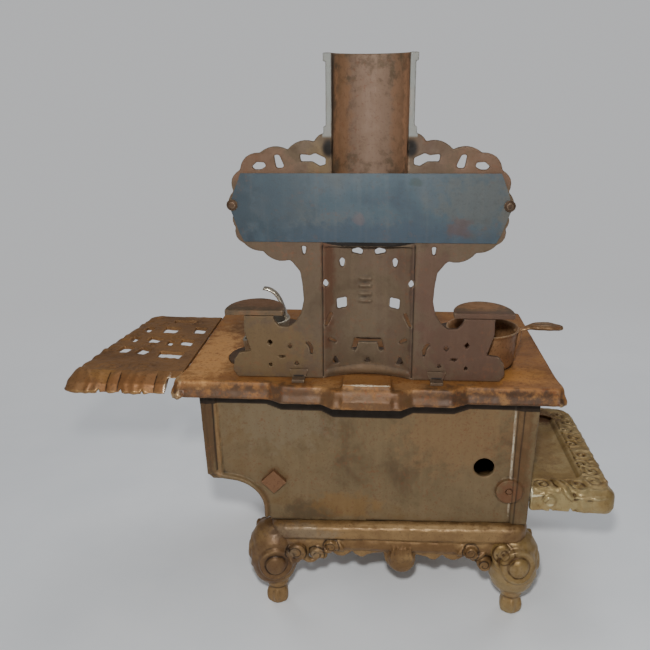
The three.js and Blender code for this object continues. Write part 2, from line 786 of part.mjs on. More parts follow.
// The slots of the hearth go right through the plate as well
function throughSlots() {
  const middle = hearthTop - hearthThickness - tongueThickness;
  const pocket = tongueThickness / 2 + gap;
  return [-1, 1].map((side) => {
    const y = side * hearthSocketSpacing / 2;
    return block(firebox.outer - shelfGap - overrun, firebox.inner + tongueThickness + overrun,
      y - tongueWidth / 2 - gap, y + tongueWidth / 2 + gap, middle - pocket, middle + pocket);
  });
}

piece("end_plate_firebox", cut(fireboxEnd(), ...throughSlots()), "body");

function endDoor() {
  const half = endDoorWidth / 2 + doorLap;
  const inner = firebox.outer - gap;
  const outer = inner - doorThickness;
  const border = doorLap + doorThickness;
  const low = endDoorBottom + knuckleHeight + gap;
  const high = endDoorBottom + endDoorHeight - knuckleHeight - gap;
  const panel = block(outer, inner, -half + gap, half, endDoorBottom - doorLap,
    endDoorBottom + endDoorHeight + doorLap);
  const frame = cut(
    block(outer - pilasterRise, outer + gap, -half + gap, half, endDoorBottom - doorLap,
      endDoorBottom + endDoorHeight + doorLap),
    block(outer - 2 * pilasterRise, outer + gap, -half + border, half - border,
      endDoorBottom - doorLap + border, endDoorBottom + endDoorHeight + doorLap - border),
  );
  const knuckle = join(
    rod("z", hingeRadius, low, high, hingeEndX, endHingeY, 10),
    block(hingeEndX - hingeRadius / 2, hingeEndX + hingeRadius / 2, endHingeY, -half + border, low, high),
  );
  return cut(join(panel, frame, knuckle), hingeBore(hingeEndX, endHingeY, low, high));
}

piece("end_door", endDoor(), "body");
const endKnobY = endDoorWidth / 2 - knobRadius;
const endKnobX = firebox.outer - gap - doorThickness - pilasterRise - gap;
const endKnobZ = endDoorBottom + endDoorHeight / 2;
piece("end_door_knob", turned("x", [
  [0, -knobLength], [knobRadius / 2, -knobLength], [knobRadius, -knobLength * 3 / 4],
  [knobRadius, -knobLength / 2], [knobStemRadius, -knobLength / 3], [knobStemRadius, 0], [0, 0],
], endKnobX, endKnobY, endKnobZ, 12), "brass");
const endPin = hingePin(hingeEndX, endHingeY, endDoorBottom, endDoorBottom + endDoorHeight);
piece("end_door_hinge_pin", endPin, "steel");

// End plate at the reservoir end: upright above, sweeping in under the overhang to the base
function reservoirEnd() {
  const curveCentre = baseRight + overhangCurveWidth;
  const rise = overhangHeight - plateFoot;
  const outerCurve = arc(curveCentre, plateFoot, overhangCurveWidth, rise, Math.PI, Math.PI / 2, 8);
  const innerCurve = arc(curveCentre, plateFoot, overhangCurveWidth + casting, rise + casting,
    Math.PI / 2, Math.PI, 8);
  const outer = endInner + casting;
  const points = [
    [outer, bodyTop], [endInner, bodyTop], [endInner, overhangHeight + casting],
    ...innerCurve,
    ...outerCurve,
    [outer - casting / 2, overhangHeight], [outer, overhangHeight + casting],
  ];
  return prism("y", points, -endHalf, endHalf);
}

piece("end_plate_reservoir", reservoirEnd(), "body");

// Oven liner: a square tube of sheet iron between the front and back plates, with ledges for the rack
const liner = {
  left: ovenDoorCentre - ovenDoorWidth / 2 - linerMargin,
  right: ovenDoorCentre + ovenDoorWidth / 2 + linerMargin,
  low: ovenDoorBottom - linerMargin,
  high: ovenDoorBottom + ovenDoorHeight + linerMargin,
};
const linerHalf = plateInner - linerDepthGap;
const linerOuter = {
  left: liner.left - linerWall, right: liner.right + linerWall,
  low: baseTop + gap, high: liner.high + linerWall,
};

function ovenLiner() {
  const outside = rectangle(linerOuter.left, linerOuter.right, liner.low - linerWall, linerOuter.high);
  const inside = rectangle(liner.left, liner.right, liner.low, liner.high);
  const tube = prism("y", outside, -linerHalf, linerHalf, [inside]);
  const along = (x0, x1, z0, z1) => block(x0, x1, -linerHalf, linerHalf, z0, z1);
  const ledge = (x0, x1) => along(x0, x1, rackLedgeHeight - linerWall, rackLedgeHeight);
  const foot = (x) => along(x, x + linerWall, linerOuter.low, liner.low - linerWall / 2);
  return join(
    tube,
    ledge(liner.left - linerWall / 2, liner.left + rackLedgeWidth),
    ledge(liner.right - rackLedgeWidth, liner.right + linerWall / 2),
    foot(linerOuter.left), foot(linerOuter.right - linerWall),
    basketLedge(basketCentre + basketRadius + gap, linerOuter.left + linerWall / 2),
  );
}

piece("oven_liner", ovenLiner(), "iron");

// Oven rack: a frame with bars, which slides on the ledges
function ovenRack() {
  const left = liner.left + gap * 2;
  const right = liner.right - gap * 2;
  const z = rackLedgeHeight + gap;
  const rear = linerHalf - gap * 2;
  const front = rear - rackLength;
  const frameWidth = rackLedgeWidth;
  const inner = rectangle(left + frameWidth, right - frameWidth, front + frameWidth, rear - frameWidth);
  const frame = prism("z", rectangle(left, right, front, rear), z, z + rackThickness, [inner]);
  const bars = [];
  for (let i = 1; i <= rackBars; i += 1) {
    const x = left + (right - left) * i / (rackBars + 1);
    bars.push(block(x - rackThickness / 2, x + rackThickness / 2, front, rear, z, z + rackThickness));
  }
  return join(frame, ...bars);
}

piece("oven_rack", ovenRack(), "steel");

// Firebox basket: a slotted trough hung by its flanges between the liner and the end plate
function fireboxBasket() {
  const x = basketCentre;
  const z = basketAxisHeight;
  const half = basketLength / 2 - gap;
  const points = [
    ...arc(x, z, basketRadius, basketRadius, Math.PI, 2 * Math.PI, 14),
    ...arc(x, z, basketRadius - basketWall, basketRadius - basketWall, 2 * Math.PI, Math.PI, 14),
  ];
  const flange = (x0, x1) => block(x0, x1, -half, half, z - basketWall, z);
  const trough = join(
    prism("y", points, -half, half),
    flange(x - basketRadius - basketFlange + gap, x - basketRadius + basketWall / 2),
    flange(x + basketRadius - basketWall / 2, x + basketRadius + basketFlange - gap),
  );
  const pitch = 2 * half / (basketSlots + 1);
  const slots = [];
  for (let i = 1; i <= basketSlots; i += 1) {
    const y = -half + i * pitch;
    slots.push(block(x - basketRadius * Math.SQRT1_2, x + basketRadius * Math.SQRT1_2,
      y - basketSlotWidth / 2, y + basketSlotWidth / 2, z - basketRadius - overrun, z - basketRadius / 2));
  }
  return cut(trough, ...slots);
}

piece("firebox_basket", fireboxBasket(), "steel");

// Tie rods that draw the front and back plates together
function tieRod(x, z, front, rear) {
  const head = [[0, -rodHeadRise], [rodHeadRadius / 2, -rodHeadRise], [rodHeadRadius, -rodHeadRise / 4],
    [rodHeadRadius, 0], [0, 0]];
  return join(
    rod("y", rodRadius, front, rear, x, z, 10),
    turned("y", head, x, front, z, 12),
  );
}

piece("tie_rod_reservoir_side",
  tieRod(nutX, nutHeight, -plateRear - gap, plateRear + nutThickness / 2), "steel");
piece("tie_rod_firebox_side", tieRod(bossX, bossHeight, -plateRear - pilasterRise - bossRise - gap,
  plateRear + pilasterRise + bossRise), "steel");
const nutReach = nutSide * Math.SQRT1_2;
const nutPoints = arc(nutX, nutHeight, nutReach, nutReach, 0, 2 * Math.PI, 4).slice(0, 4);
piece("tie_rod_square_nut", cut(
  prism("y", nutPoints, plateRear + gap, plateRear + gap + nutThickness),
  rod("y", rodRadius + gap, plateRear, plateRear + gap + nutThickness / 2 + gap, nutX, nutHeight, 10),
), "body");

// Top plate: a flared skirt, stepped out at the rear around the smoke box under the flue
function topOutline() {
  const half = topWidth / 2;
  const rear = topDepth / 2;
  const front = [[-half + topCorner, -rear], [half - topCorner, -rear], [half, -rear + topCorner]];
  const right = [
    [half, rear - topCorner], [half - topCorner, rear],
    [bayHalfWidth, rear], [bayHalfWidth - bayRun, rear + bayStep],
    [centreBayHalfWidth, rear + bayStep], [centreBayHalfWidth - centreBayRun, rear + bayStep + centreBayStep],
  ];
  const left = mirrored(right);
  return [...front, ...right, ...left, [-half, -rear + topCorner]];
}

const lidPlaces = [];
for (const row of [-1, 1]) {
  for (const column of [-1, 0, 1]) lidPlaces.push([column * lidSpacing, row * lidRowSpacing / 2]);
}

const sideSocketTop = topSurface - shelfDrop - shelfThickness - gap;
const tongueX = topWidth / 2 + shelfGap + tongueInset;

function topPlate() {
  const inside = casting;
  const z = topSurface;
  const shell = moulding(topOutline(), [
    [0, z], [skirtFlare / 4, z - skirtDrop / 4], [skirtFlare / 3, z - skirtDrop / 2],
    [skirtFlare, z - skirtDrop], [skirtFlare - inside, z - skirtDrop],
    [skirtFlare / 3 - inside, z - skirtDrop / 2], [-inside, z - casting],
  ]);
  const boxRear = topDepth / 2 + bayStep + centreBayStep - smokeBoxInset + gap;
  const box = prism("x", [
    [flueRear + gap, z - casting / 2], [boxRear, z - casting / 2], [boxRear + skirtFlare, z - skirtDrop / 2],
    [topDepth / 2 + bayStep + centreBayStep + skirtFlare, z - skirtDrop],
    [topDepth / 2 + bayStep + centreBayStep + skirtFlare, z - skirtDrop / 2],
    [boxRear, z + smokeBoxRise], [flueRear + gap, z + smokeBoxRise],
  ], -smokeBoxHalfWidth, smokeBoxHalfWidth);
  const holes = lidPlaces.flatMap(([x, y]) => [
    rod("z", lidRadius + gap, z - lidSeatDepth, z + overrun, x, y, 32),
    rod("z", lidRadius - lidSeatWidth, z - casting - overrun, z + overrun, x, y, 32),
  ]);
  const skirtAtSocket = topWidth / 2 - casting;
  const lugs = sockets(skirtAtSocket, socketReach + casting, sideSocketTop,
    skirtDrop - shelfDrop - shelfThickness - gap, socketWidth, socketSpacing, tongueX, 1);
  return cut(join(shell, box, ...lugs), ...holes);
}

piece("top_plate", topPlate(), "top");

// Lids, let in flush, each with a notch for the lifter
const lidNames = ["lid_front_firebox_end", "lid_front_middle", "lid_front_reservoir_end",
  "lid_rear_firebox_end", "lid_rear_middle", "lid_rear_reservoir_end"];

function lid(x, y) {
  const seat = topSurface - lidSeatDepth + gap;
  const disc = turned("z", [
    [0, topSurface - casting], [lidRadius - lidSeatWidth - gap, topSurface - casting],
    [lidRadius - lidSeatWidth - gap, seat], [lidRadius, seat], [lidRadius, topSurface], [0, topSurface],
  ], x, y, 0, 32);
  const front = y - lidRadius / 2;
  const notch = block(x - lidNotchWidth / 2, x + lidNotchWidth / 2, front, front + lidNotchLength,
    topSurface - lidSeatDepth / 2, topSurface + overrun);
  return cut(disc, notch);
}

lidPlaces.forEach(([x, y], i) => piece(lidNames[i], lid(x, y), "iron"));

// Flue back: pierced plate with brackets, columns, scroll wings, a shallow recess and the half-round chimney
const bracketShares = [
  [0.967, 0], [1.003, 0.03], [0.993, 0.076], [0.953, 0.107],
  [0.865, 0.114], [0.913, 0.205], [0.91, 0.2694], [0.693, 0.2694], [0.68, 0.246],
];
const archShares = [
  [0.647, 0.226], [0.58, 0.224], [0.527, 0.246], [0.487, 0.281], [0.464, 0.341],
  [0.473, 0.411], [0.487, 0.46], [0.54, 0.498],
];
const wingCuspShares = [
  [0.56, 0.507], [0.75, 0.543], [0.885, 0.575], [0.94, 0.64], [0.952, 0.69], [0.945, 0.782],
  [0.893, 0.865], [0.753, 0.93], [0.56, 0.942], [0.377, 0.972], [0.297, 1.003],
];
const wingBulgeShares = [0.16, 0.12, 0.2, 0.14, 0.22, 0.22, 0.22, 0.16, 0.16, 0.16];
const plateHoleShares = [
  [[0.44, 0.565], [0.475, 0.565], [0.465, 0.53], [0.45, 0.53]],
  [[0.57, 0.155], [0.59, 0.14], [0.575, 0.125], [0.555, 0.14]],
  [[0.46, 0.16], [0.43, 0.135], [0.42, 0.105], [0.405, 0.1], [0.4, 0.135], [0.425, 0.16]],
  [[0.545, 0.055], [0.525, 0.078], [0.505, 0.055]],
  [[0.72, 0.17], [0.74, 0.155], [0.72, 0.14], [0.7, 0.155]],
  [[0.67, 0.1], [0.64, 0.085], [0.61, 0.09], [0.6, 0.1], [0.63, 0.097]],
  [[0.73, 0.065], [0.735, 0.05], [0.705, 0.048], [0.71, 0.06]],
  [[0.81, 0.877], [0.775, 0.895], [0.72, 0.893], [0.71, 0.878], [0.75, 0.866], [0.79, 0.866]],
  [[0.655, 0.922], [0.617, 0.922], [0.585, 0.88], [0.6, 0.872], [0.64, 0.872]],
  [[0.475, 0.925], [0.405, 0.92], [0.37, 0.928], [0.3, 0.91], [0.3, 0.885], [0.34, 0.88],
    [0.39, 0.897], [0.47, 0.897]],
];
const recessHoleShares = [
  [[0.05, 0.52], [0.12, 0.53], [0.12, 0.545], [0.07, 0.55], [0.04, 0.54]],
  [[0.18, 0.47], [0.2, 0.475], [0.21, 0.5], [0.19, 0.515], [0.17, 0.5]],
  [[0.3, 0.39], [0.325, 0.41], [0.31, 0.435], [0.285, 0.41]],
  [[0.155, 0.3], [0.225, 0.295], [0.23, 0.34], [0.16, 0.345]],
  [[0.3, 0.225], [0.32, 0.23], [0.275, 0.29], [0.255, 0.275]],
  [[0.235, 0.145], [0.29, 0.165], [0.28, 0.178], [0.23, 0.16]],
  [[0.21, 0.055], [0.265, 0.055], [0.24, 0.1]],
];
const archHoleShares = [[-0.12, 0.115], [-0.09, 0.105], [-0.07, 0.145], [0.07, 0.145], [0.09, 0.105],
  [0.12, 0.115], [0.1, 0.165], [-0.1, 0.165]];
const lowHoleShares = [[-0.03, 0.055], [0.03, 0.055], [0, 0.075]];
const scrollHeight = scrollTop;

function flueScaled(shares) {
  return shares.map(([u, v]) => [u * flueHalfWidth, topSurface + gap + v * scrollHeight]);
}

function flueHalfOutline() {
  const wing = flueScaled(wingCuspShares);
  const lobes = wing.slice(0, -1).flatMap((cusp, i) => {
    const next = wing[i + 1];
    return lobe(cusp, next, wingBulgeShares[i]);
  });
  return [
    ...flueScaled(bracketShares),
    ...flueScaled(archShares),
    ...lobes,
    wing[wing.length - 1],
  ];
}

function recessArc(extra) {
  const half = columnInner + extra;
  const depth = recessDepth + extra;
  const radius = (half * half + depth * depth) / (2 * depth);
  const spread = Math.asin(half / radius);
  return arc(0, flueRear - depth + radius, radius, radius, -Math.PI / 2 - spread, -Math.PI / 2 + spread, 10);
}

function flueBack() {
  const half = flueHalfOutline();
  const outline = [...half, ...mirrored(half)];
  const openings = [
    ...plateHoleShares.map(flueScaled),
    ...plateHoleShares.map((shares) => mirrored(flueScaled(shares))),
  ];
  const channel = chimneyRadius - casting;
  const plate = cut(
    prism("y", outline, flueFront, flueRear, openings),
    block(-columnInner, columnInner, flueFront - overrun, flueRear + overrun, flueFoot - overrun,
      topSurface + chimneyFoot),
    block(-channel, channel, flueFront - overrun, flueRear + overrun, topSurface + chimneyFoot + casting,
      topSurface + scrollTop + overrun),
  );
  const shell = [...recessArc(casting / 2), ...recessArc(-casting / 2).reverse()];
  const recess = cut(
    prism("z", shell, flueFoot, topSurface + chimneyFoot + casting),
    block(-flueHalfWidth, flueHalfWidth, flueRear, flueRear + recessDepth + columnInner,
      flueFoot - overrun, topSurface + chimneyFoot + 2 * casting),
    ...[...recessHoleShares, ...recessHoleShares.map((shares) => mirrored(shares)), archHoleShares,
      lowHoleShares].map((shares) => prism("y", flueScaled(shares), flueRear - chimneyRadius, flueRear)),
  );
  const halfDisc = (radius) => arc(0, flueRear, radius, radius, Math.PI, 2 * Math.PI, 24);
  const chimney = cut(
    join(
      prism("z", halfDisc(chimneyRadius), topSurface + chimneyFoot, chimneyTop),
      ...[scrollTop, chimneyHeight - chimneyBandHeight].map((z) => prism(
        "z", halfDisc(chimneyRadius + chimneyBandRise), topSurface + z, topSurface + z + chimneyBandHeight)),
    ),
    prism("z", [...halfDisc(channel), [channel, flueRear + overrun], [-channel, flueRear + overrun]],
      topSurface + chimneyFoot + casting, chimneyTop + overrun),
  );
  return join(plate, recess, chimney);
}

const rivetBores = [-1, 1].map((side) => rod("y", rivetHole + gap, flueFront - overrun,
  flueRear + overrun, side * rivetSpacing / 2, topSurface + rivetHeight, 8));
piece("flue_back", cut(flueBack(), ...rivetBores), "flue");

// Blued sheet that closes the back of the warming closet, with a rivet at each end
const sheetEdgeShares = [[0.89, 0], [0.92, 0.12], [0.985, 0.5], [0.955, 0.72], [0.9, 1]];

function bluedSheet() {
  const right = sheetEdgeShares.map(([u, v]) => [
    u * sheetHalfWidth, topSurface + sheetBottom + v * (sheetTop - sheetBottom)]);
  const rear = flueRear + gap;
  return cut(prism("y", [...right, ...mirrored(right)], rear, rear + sheetThickness), ...rivetBores);
}

piece("blued_sheet", bluedSheet(), "blued");
for (const [name, side] of [["sheet_rivet_reservoir_end", 1], ["sheet_rivet_firebox_end", -1]]) {
  const seat = flueRear + 2 * gap + sheetThickness;
  piece(name, turned("y", [
    [0, -casting - sheetThickness - 2 * gap], [rivetHole, -casting - sheetThickness - 2 * gap],
    [rivetHole, 0], [rivetRadius, 0], [rivetRadius, rivetRise / 3], [rivetRadius / 2, rivetRise],
    [0, rivetRise],
  ], side * rivetSpacing / 2, seat, topSurface + rivetHeight, 12), "iron");
}

// Tea shelves on the brackets
for (const [name, side] of [["tea_shelf_reservoir_end", 1], ["tea_shelf_firebox_end", -1]]) {
  const z = topSurface + gap + bracketShares[6][1] * scrollHeight + gap;
  const half = teaShelfHalfWidth;
  const edge = flueRear - half / 4;
  const rounded = arc(0, edge, half, teaShelfDepth, 2 * Math.PI, Math.PI, 16);
  const points = [[half, flueRear], ...rounded, [-half, flueRear]]
    .map(([x, y]) => [x + side * teaShelfCentre, y]).reverse();
  piece(name, prism("z", points, z, z + teaShelfThickness), "flue");
}

// Clips that hold the flue to the top plate
for (const [name, side] of [["flue_clip_reservoir_end", 1], ["flue_clip_firebox_end", -1]]) {
  const rear = flueRear + gap;
  const x = side * clipCentre;
  const z = topSurface + gap;
  piece(name, join(
    prism("y", [[x - clipStemWidth / 2, z], [x + clipStemWidth / 2, z],
      [x + clipHeadWidth / 2, z + clipHeight], [x - clipHeadWidth / 2, z + clipHeight]],
      rear, rear + clipThickness),
    block(x - clipStemWidth / 2, x + clipStemWidth / 2, rear, rear + clipLength, z, z + clipThickness),
  ), "flue");
}

// Warming closet: two compartments on the front of the flue, either side of the chimney
const closet = {
  rear: flueFront - gap,
  front: flueFront - gap - closetDepth,
  low: topSurface + closetBottom,
  high: topSurface + closetBottom + closetHeight,
};

function closetOpening(side) {
  const inner = closetCentreHalfWidth;
  const outer = closetHalfWidth - closetDoorMargin;
  return side > 0 ? [inner, outer] : [-outer, -inner];
}

function warmingCloset() {
  const shell = block(-closetHalfWidth, closetHalfWidth, closet.front, closet.rear, closet.low, closet.high);
  const rooms = [-1, 1].map((side) => {
    const [x0, x1] = closetOpening(side);
    return block(x0, x1, closet.front - overrun, closet.rear - closetWall,
      closet.low + closetWall, closet.high - closetWall);
  });
  const bayLow = closet.low - overrun;
  const chimneyBay = rod("z", chimneyRadius + 2 * gap, bayLow, closet.high + overrun, 0, flueRear, 48);
  const hinges = [-1, 1].map((side) => {
    const x = side * (closetHalfWidth - closetDoorMargin + hingeSide);
    const y = closet.front - hingeOut;
    const low = closet.low + closetWall;
    const high = closet.high - closetWall;
    return [knuckleBlanks(x, y, low, high, x + side * hingeRadius / 2, closet.front + closetWall),
      hingeBore(x, y, low, high)];
  });
  return cut(
    join(cut(shell, ...rooms, chimneyBay), ...hinges.flatMap(([blanks]) => blanks)),
    ...hinges.map(([, bore]) => bore),
  );
}

piece("warming_closet", warmingCloset(), "flue");
for (const [name, side] of [["closet_door_reservoir_end", 1], ["closet_door_firebox_end", -1]]) {
  const [x0, x1] = closetOpening(side);
  const low = closet.low + closetWall;
  const height = closet.high - closet.low - 2 * closetWall;
  const panel = doorPanel((x0 + x1) / 2, x1 - x0, low, height, side, closet.front);
  const knobX = (x0 + x1) / 2 - side * ((x1 - x0) / 2 - knobRadius);
  const face = closet.front - gap - doorThickness - pilasterRise;
  piece(name, join(panel, knob(knobX, face + gap, low + height / 2)), "flue");
  const hingeX = (x0 + x1) / 2 + side * ((x1 - x0) / 2 + hingeSide);
  piece(`${name}_hinge_pin`, hingePin(hingeX, closet.front - hingeOut, low, low + height), "steel");
}

// Side shelf, level with the top: pierced plate with a leafy rim on three sides and two tongues
const shelfX = topWidth / 2 + shelfGap;
const shelfTop = topSurface - shelfDrop;
const shelfSlotShares = [
  [[0.72, 0.62], [0.86, 0.6], [0.88, 0.7], [0.74, 0.72]],
  [[0.5, 0.66], [0.64, 0.62], [0.66, 0.72], [0.54, 0.74]],
  [[0.78, 0.45], [0.9, 0.42], [0.9, 0.5], [0.8, 0.53]],
  [[0.5, 0.46], [0.68, 0.42], [0.68, 0.52], [0.54, 0.54]],
  [[0.12, 0.48], [0.28, 0.46], [0.26, 0.56], [0.12, 0.58]],
  [[0.34, 0.5], [0.42, 0.48], [0.42, 0.56], [0.34, 0.58]],
  [[0.76, 0.25], [0.88, 0.23], [0.88, 0.32], [0.78, 0.34]],
  [[0.42, 0.24], [0.64, 0.22], [0.62, 0.34], [0.44, 0.34]],
  [[0.08, 0.24], [0.24, 0.22], [0.22, 0.34], [0.08, 0.34]],
  [[0.12, 0.7], [0.4, 0.68], [0.38, 0.78], [0.14, 0.8]],
  [[0.3, 0.08], [0.62, 0.08], [0.6, 0.14], [0.32, 0.14]],
];

function shelfOutline(extraX, extraY) {
  const rear = shelfRear + extraY;
  const front = -shelfFront - extraY;
  const corner = shelfRim;
  const sharp = corner / 2;
  const quarter = Math.PI / 2;
  return [
    [shelfX, front],
    ...arc(shelfX + shelfReachFront + extraX - corner, front + corner, corner, corner, -quarter, 0, 4),
    ...arc(shelfX + shelfReachRear + extraX - sharp, rear - sharp, sharp, sharp, 0, quarter, 3),
    [shelfX, rear],
  ];
}

// Notches between the leaves of a rim, along one axis, open at the rim's lower edge
function rimNotches(axis, from, to, leaves, low, near, far) {
  const notches = [];
  for (let i = 1; i < leaves; i += 1) {
    const middle = from + (to - from) * i / leaves;
    const half = rimNotchWidth / 2;
    notches.push(prism(axis, [
      [middle - half, low - overrun], [middle + half, low - overrun], [middle, low + rimNotchHeight],
    ], near, far));
  }
  return notches;
}

function sideShelf() {
  const length = shelfRear + shelfFront;
  const slots = shelfSlotShares.map((shares) => shares.map(([u, v]) => [
    shelfX + u * (shelfReachFront + (shelfReachRear - shelfReachFront) * v), -shelfFront + v * length]));
  const plate = prism("z", shelfOutline(0, 0), shelfTop - shelfThickness, shelfTop, slots);
  const foot = shelfTop - shelfRimDrop;
  const rings = [
    [0, 0, shelfTop],
    [shelfRimFlare / 3, shelfEndFlare / 4, shelfTop - shelfThickness / 2],
    [shelfRimFlare * 3 / 4, shelfEndFlare * 3 / 4, shelfTop - shelfRimDrop / 2],
    [shelfRimFlare, shelfEndFlare, foot],
    [shelfRimFlare - shelfRimThickness, shelfEndFlare - shelfRimThickness, foot],
    [-shelfRimThickness / 2, -shelfRimThickness / 2, shelfTop - shelfThickness],
  ];
  const inside = shelfOutline(-shelfRimThickness, -shelfRimThickness);
  const outerX = shelfX + shelfReachRear + shelfRimFlare;
  const leaves = (y0, y1) => rimNotches("y", shelfX + socketReach, outerX - shelfRim, shelfEndLeaves,
    foot, y0, y1);
  const rim = cut(
    loft(rings.map(([outX, outY, z]) => shelfOutline(outX, outY).map(([x, y]) => [x, y, z]))),
    block(topWidth / 2 - shelfRim, shelfX, -topDepth, topDepth, foot - shelfRimDrop, shelfTop + overrun),
    prism("z", inside, shelfTop - shelfRimDrop - overrun, shelfTop + overrun),
    ...leaves(shelfRear, shelfRear + 2 * shelfEndFlare),
    ...leaves(-shelfFront - 2 * shelfEndFlare, -shelfFront),
    ...rimNotches("x", -shelfFront, shelfRear, shelfSideLeaves, foot, shelfX + shelfReachFront / 2, outerX),
  );
  const skirtClear = block(topWidth / 2 - shelfRim, shelfX + socketReach, -topDepth, topDepth,
    shelfTop - 2 * shelfRimDrop, shelfTop - shelfThickness);
  const tongues = [-1, 1].map((side) => block(tongueX, tongueX + tongueThickness,
    side * socketSpacing / 2 - tongueWidth / 2, side * socketSpacing / 2 + tongueWidth / 2,
    shelfTop - shelfThickness - tongueDrop, shelfTop - shelfThickness / 2));
  return join(plate, cut(rim, skirtClear), ...tongues);
}

piece("side_shelf", sideShelf(), "shelf");

// Hearth shelf at the firebox end: a tray plate with a raised border and hanging rim, on two tongues
function hearthOutline(extra) {
  const corner = hearthBorder;
  const outer = hearthInner - hearthReach - extra;
  const half = hearthHalfLength + extra;
  return [
    [hearthInner, half],
    ...arc(outer + corner, half - corner, corner, corner, Math.PI / 2, Math.PI, 4),
    ...arc(outer + corner, -half + corner, corner, corner, Math.PI, Math.PI * 3 / 2, 4),
    [hearthInner, -half],
  ];
}

function hearthShelf() {
  const plate = prism("z", hearthOutline(0), hearthTop - hearthThickness, hearthTop);
  const border = cut(
    moulding(hearthOutline(0), [
      [0, hearthTop + hearthRim], [shelfRimThickness / 2, hearthTop],
      [shelfRimThickness, hearthTop - hearthRimDrop], [0, hearthTop - hearthRimDrop],
      [-shelfRimThickness / 2, hearthTop - hearthThickness],
    ]),
    block(hearthInner, hearthInner + 2 * hearthBorder, -topDepth, topDepth, hearthTop - 2 * hearthRimDrop,
      hearthTop + 2 * hearthRim),
    prism("z", hearthOutline(-hearthBorder).map(([x, y]) => [x > hearthInner ? hearthInner + overrun : x, y]),
      hearthTop, hearthTop + 2 * hearthRim),
    prism("z", hearthOutline(-shelfRimThickness), hearthTop - hearthRimDrop - overrun,
      hearthTop - hearthThickness / 2),
    ...rimNotches("y", hearthInner - hearthReach, hearthInner, hearthEndLeaves,
      hearthTop - hearthRimDrop, -topDepth, topDepth),
    ...rimNotches("x", -hearthHalfLength, hearthHalfLength, hearthSideLeaves,
      hearthTop - hearthRimDrop, hearthInner - 2 * hearthReach, hearthInner - hearthReach / 2),
  );
  const middle = hearthTop - hearthThickness - tongueThickness;
  const tongues = [-1, 1].map((side) => {
    const y = side * hearthSocketSpacing / 2;
    const outer = hearthInner - hearthTongue;
    const low = middle - tongueThickness / 2;
    const bar = (x1, z1) => block(outer, x1, y - tongueWidth / 2, y + tongueWidth / 2, low, z1);
    return join(bar(firebox.inner + hearthTongue / 4, middle + tongueThickness / 2),
      bar(outer + hearthTongue / 2, hearthTop - hearthThickness / 2));
  });
  return join(plate, border, ...tongues);
}

piece("hearth_shelf", hearthShelf(), "brass");

// Saucepan
function saucepan() {
  const z = topSurface + gap;
  const body = turned("z", [
    [0, z], [panFootRadius - panFootRound, z], [panFootRadius, z + panFootRound],
    [panRimRadius - panRimRoll, z + panHeight - panRimRoll],
    [panRimRadius, z + panHeight], [panRimRadius - panWall, z + panHeight],
    [panFootRadius - panWall, z + panWall], [0, z + panWall],
  ], panX, panY, 0, 36);
  const rimZ = z + panHeight;
  const handleStart = panX - panRimRadius + panWall;
  const half = panHandleWidth / 2;
  const points = [
    [handleStart, panY - half / 2], [handleStart, panY + half / 2],
    ...arc(handleStart - panHandleLength + half, panY, half, half, Math.PI / 2, Math.PI * 3 / 2, 6),
  ];
  return join(body, prism("z", points, rimZ - panHandleThickness, rimZ));
}

piece("saucepan", saucepan(), "iron");

// Coal scuttle with a slanting mouth and a curved handle strip
function coalScuttle() {
  const z = topSurface + gap;
  const cup = turned("z", [
    [0, z], [scuttleFootRadius, z], [scuttleRimRadius, z + scuttleHeight],
    [scuttleRimRadius - scuttleWall, z + scuttleHeight], [scuttleFootRadius - scuttleWall, z + scuttleWall],
    [0, z + scuttleWall],
  ], scuttleX, scuttleY, 0, 32);
  const reach = scuttleRimRadius + overrun;
  const mouth = prism("y", [
    [scuttleX - reach / 2, z + scuttleHeight], [scuttleX + reach, z + scuttleLip],
    [scuttleX + reach, z + scuttleHeight + overrun], [scuttleX - reach / 2, z + scuttleHeight + overrun],
  ], scuttleY - reach, scuttleY + reach);
  const rear = scuttleX - scuttleRimRadius + scuttleWall;
  const top = z + scuttleHeight;
  const outer = arc(rear + scuttleHandleReach, top, scuttleHandleReach, scuttleHandleRise,
    Math.PI, Math.PI / 2, 8);
  const inner = arc(rear + scuttleHandleReach, top, scuttleHandleReach - scuttleHandleThickness,
    scuttleHandleRise - scuttleHandleThickness, Math.PI / 2, Math.PI, 8);
  const strap = prism("y", [...outer, ...inner, [rear + scuttleHandleThickness, top - scuttleLip / 2],
    [rear, top - scuttleLip / 2]], scuttleY - scuttleHandleWidth / 2, scuttleY + scuttleHandleWidth / 2);
  return join(cut(cup, mouth), strap);
}

piece("coal_scuttle", coalScuttle(), "steel");

// Origin at the middle of the whole, at floor level
const box = new THREE.Box3().setFromObject(stove);
const centre = box.getCenter(new THREE.Vector3());
stove.position.set(-centre.x, -centre.y, -box.min.z);

const group = new THREE.Group();
group.add(stove);
export default group;
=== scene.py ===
import json
import math

import bpy
import numpy as np
from mathutils import Matrix, Vector


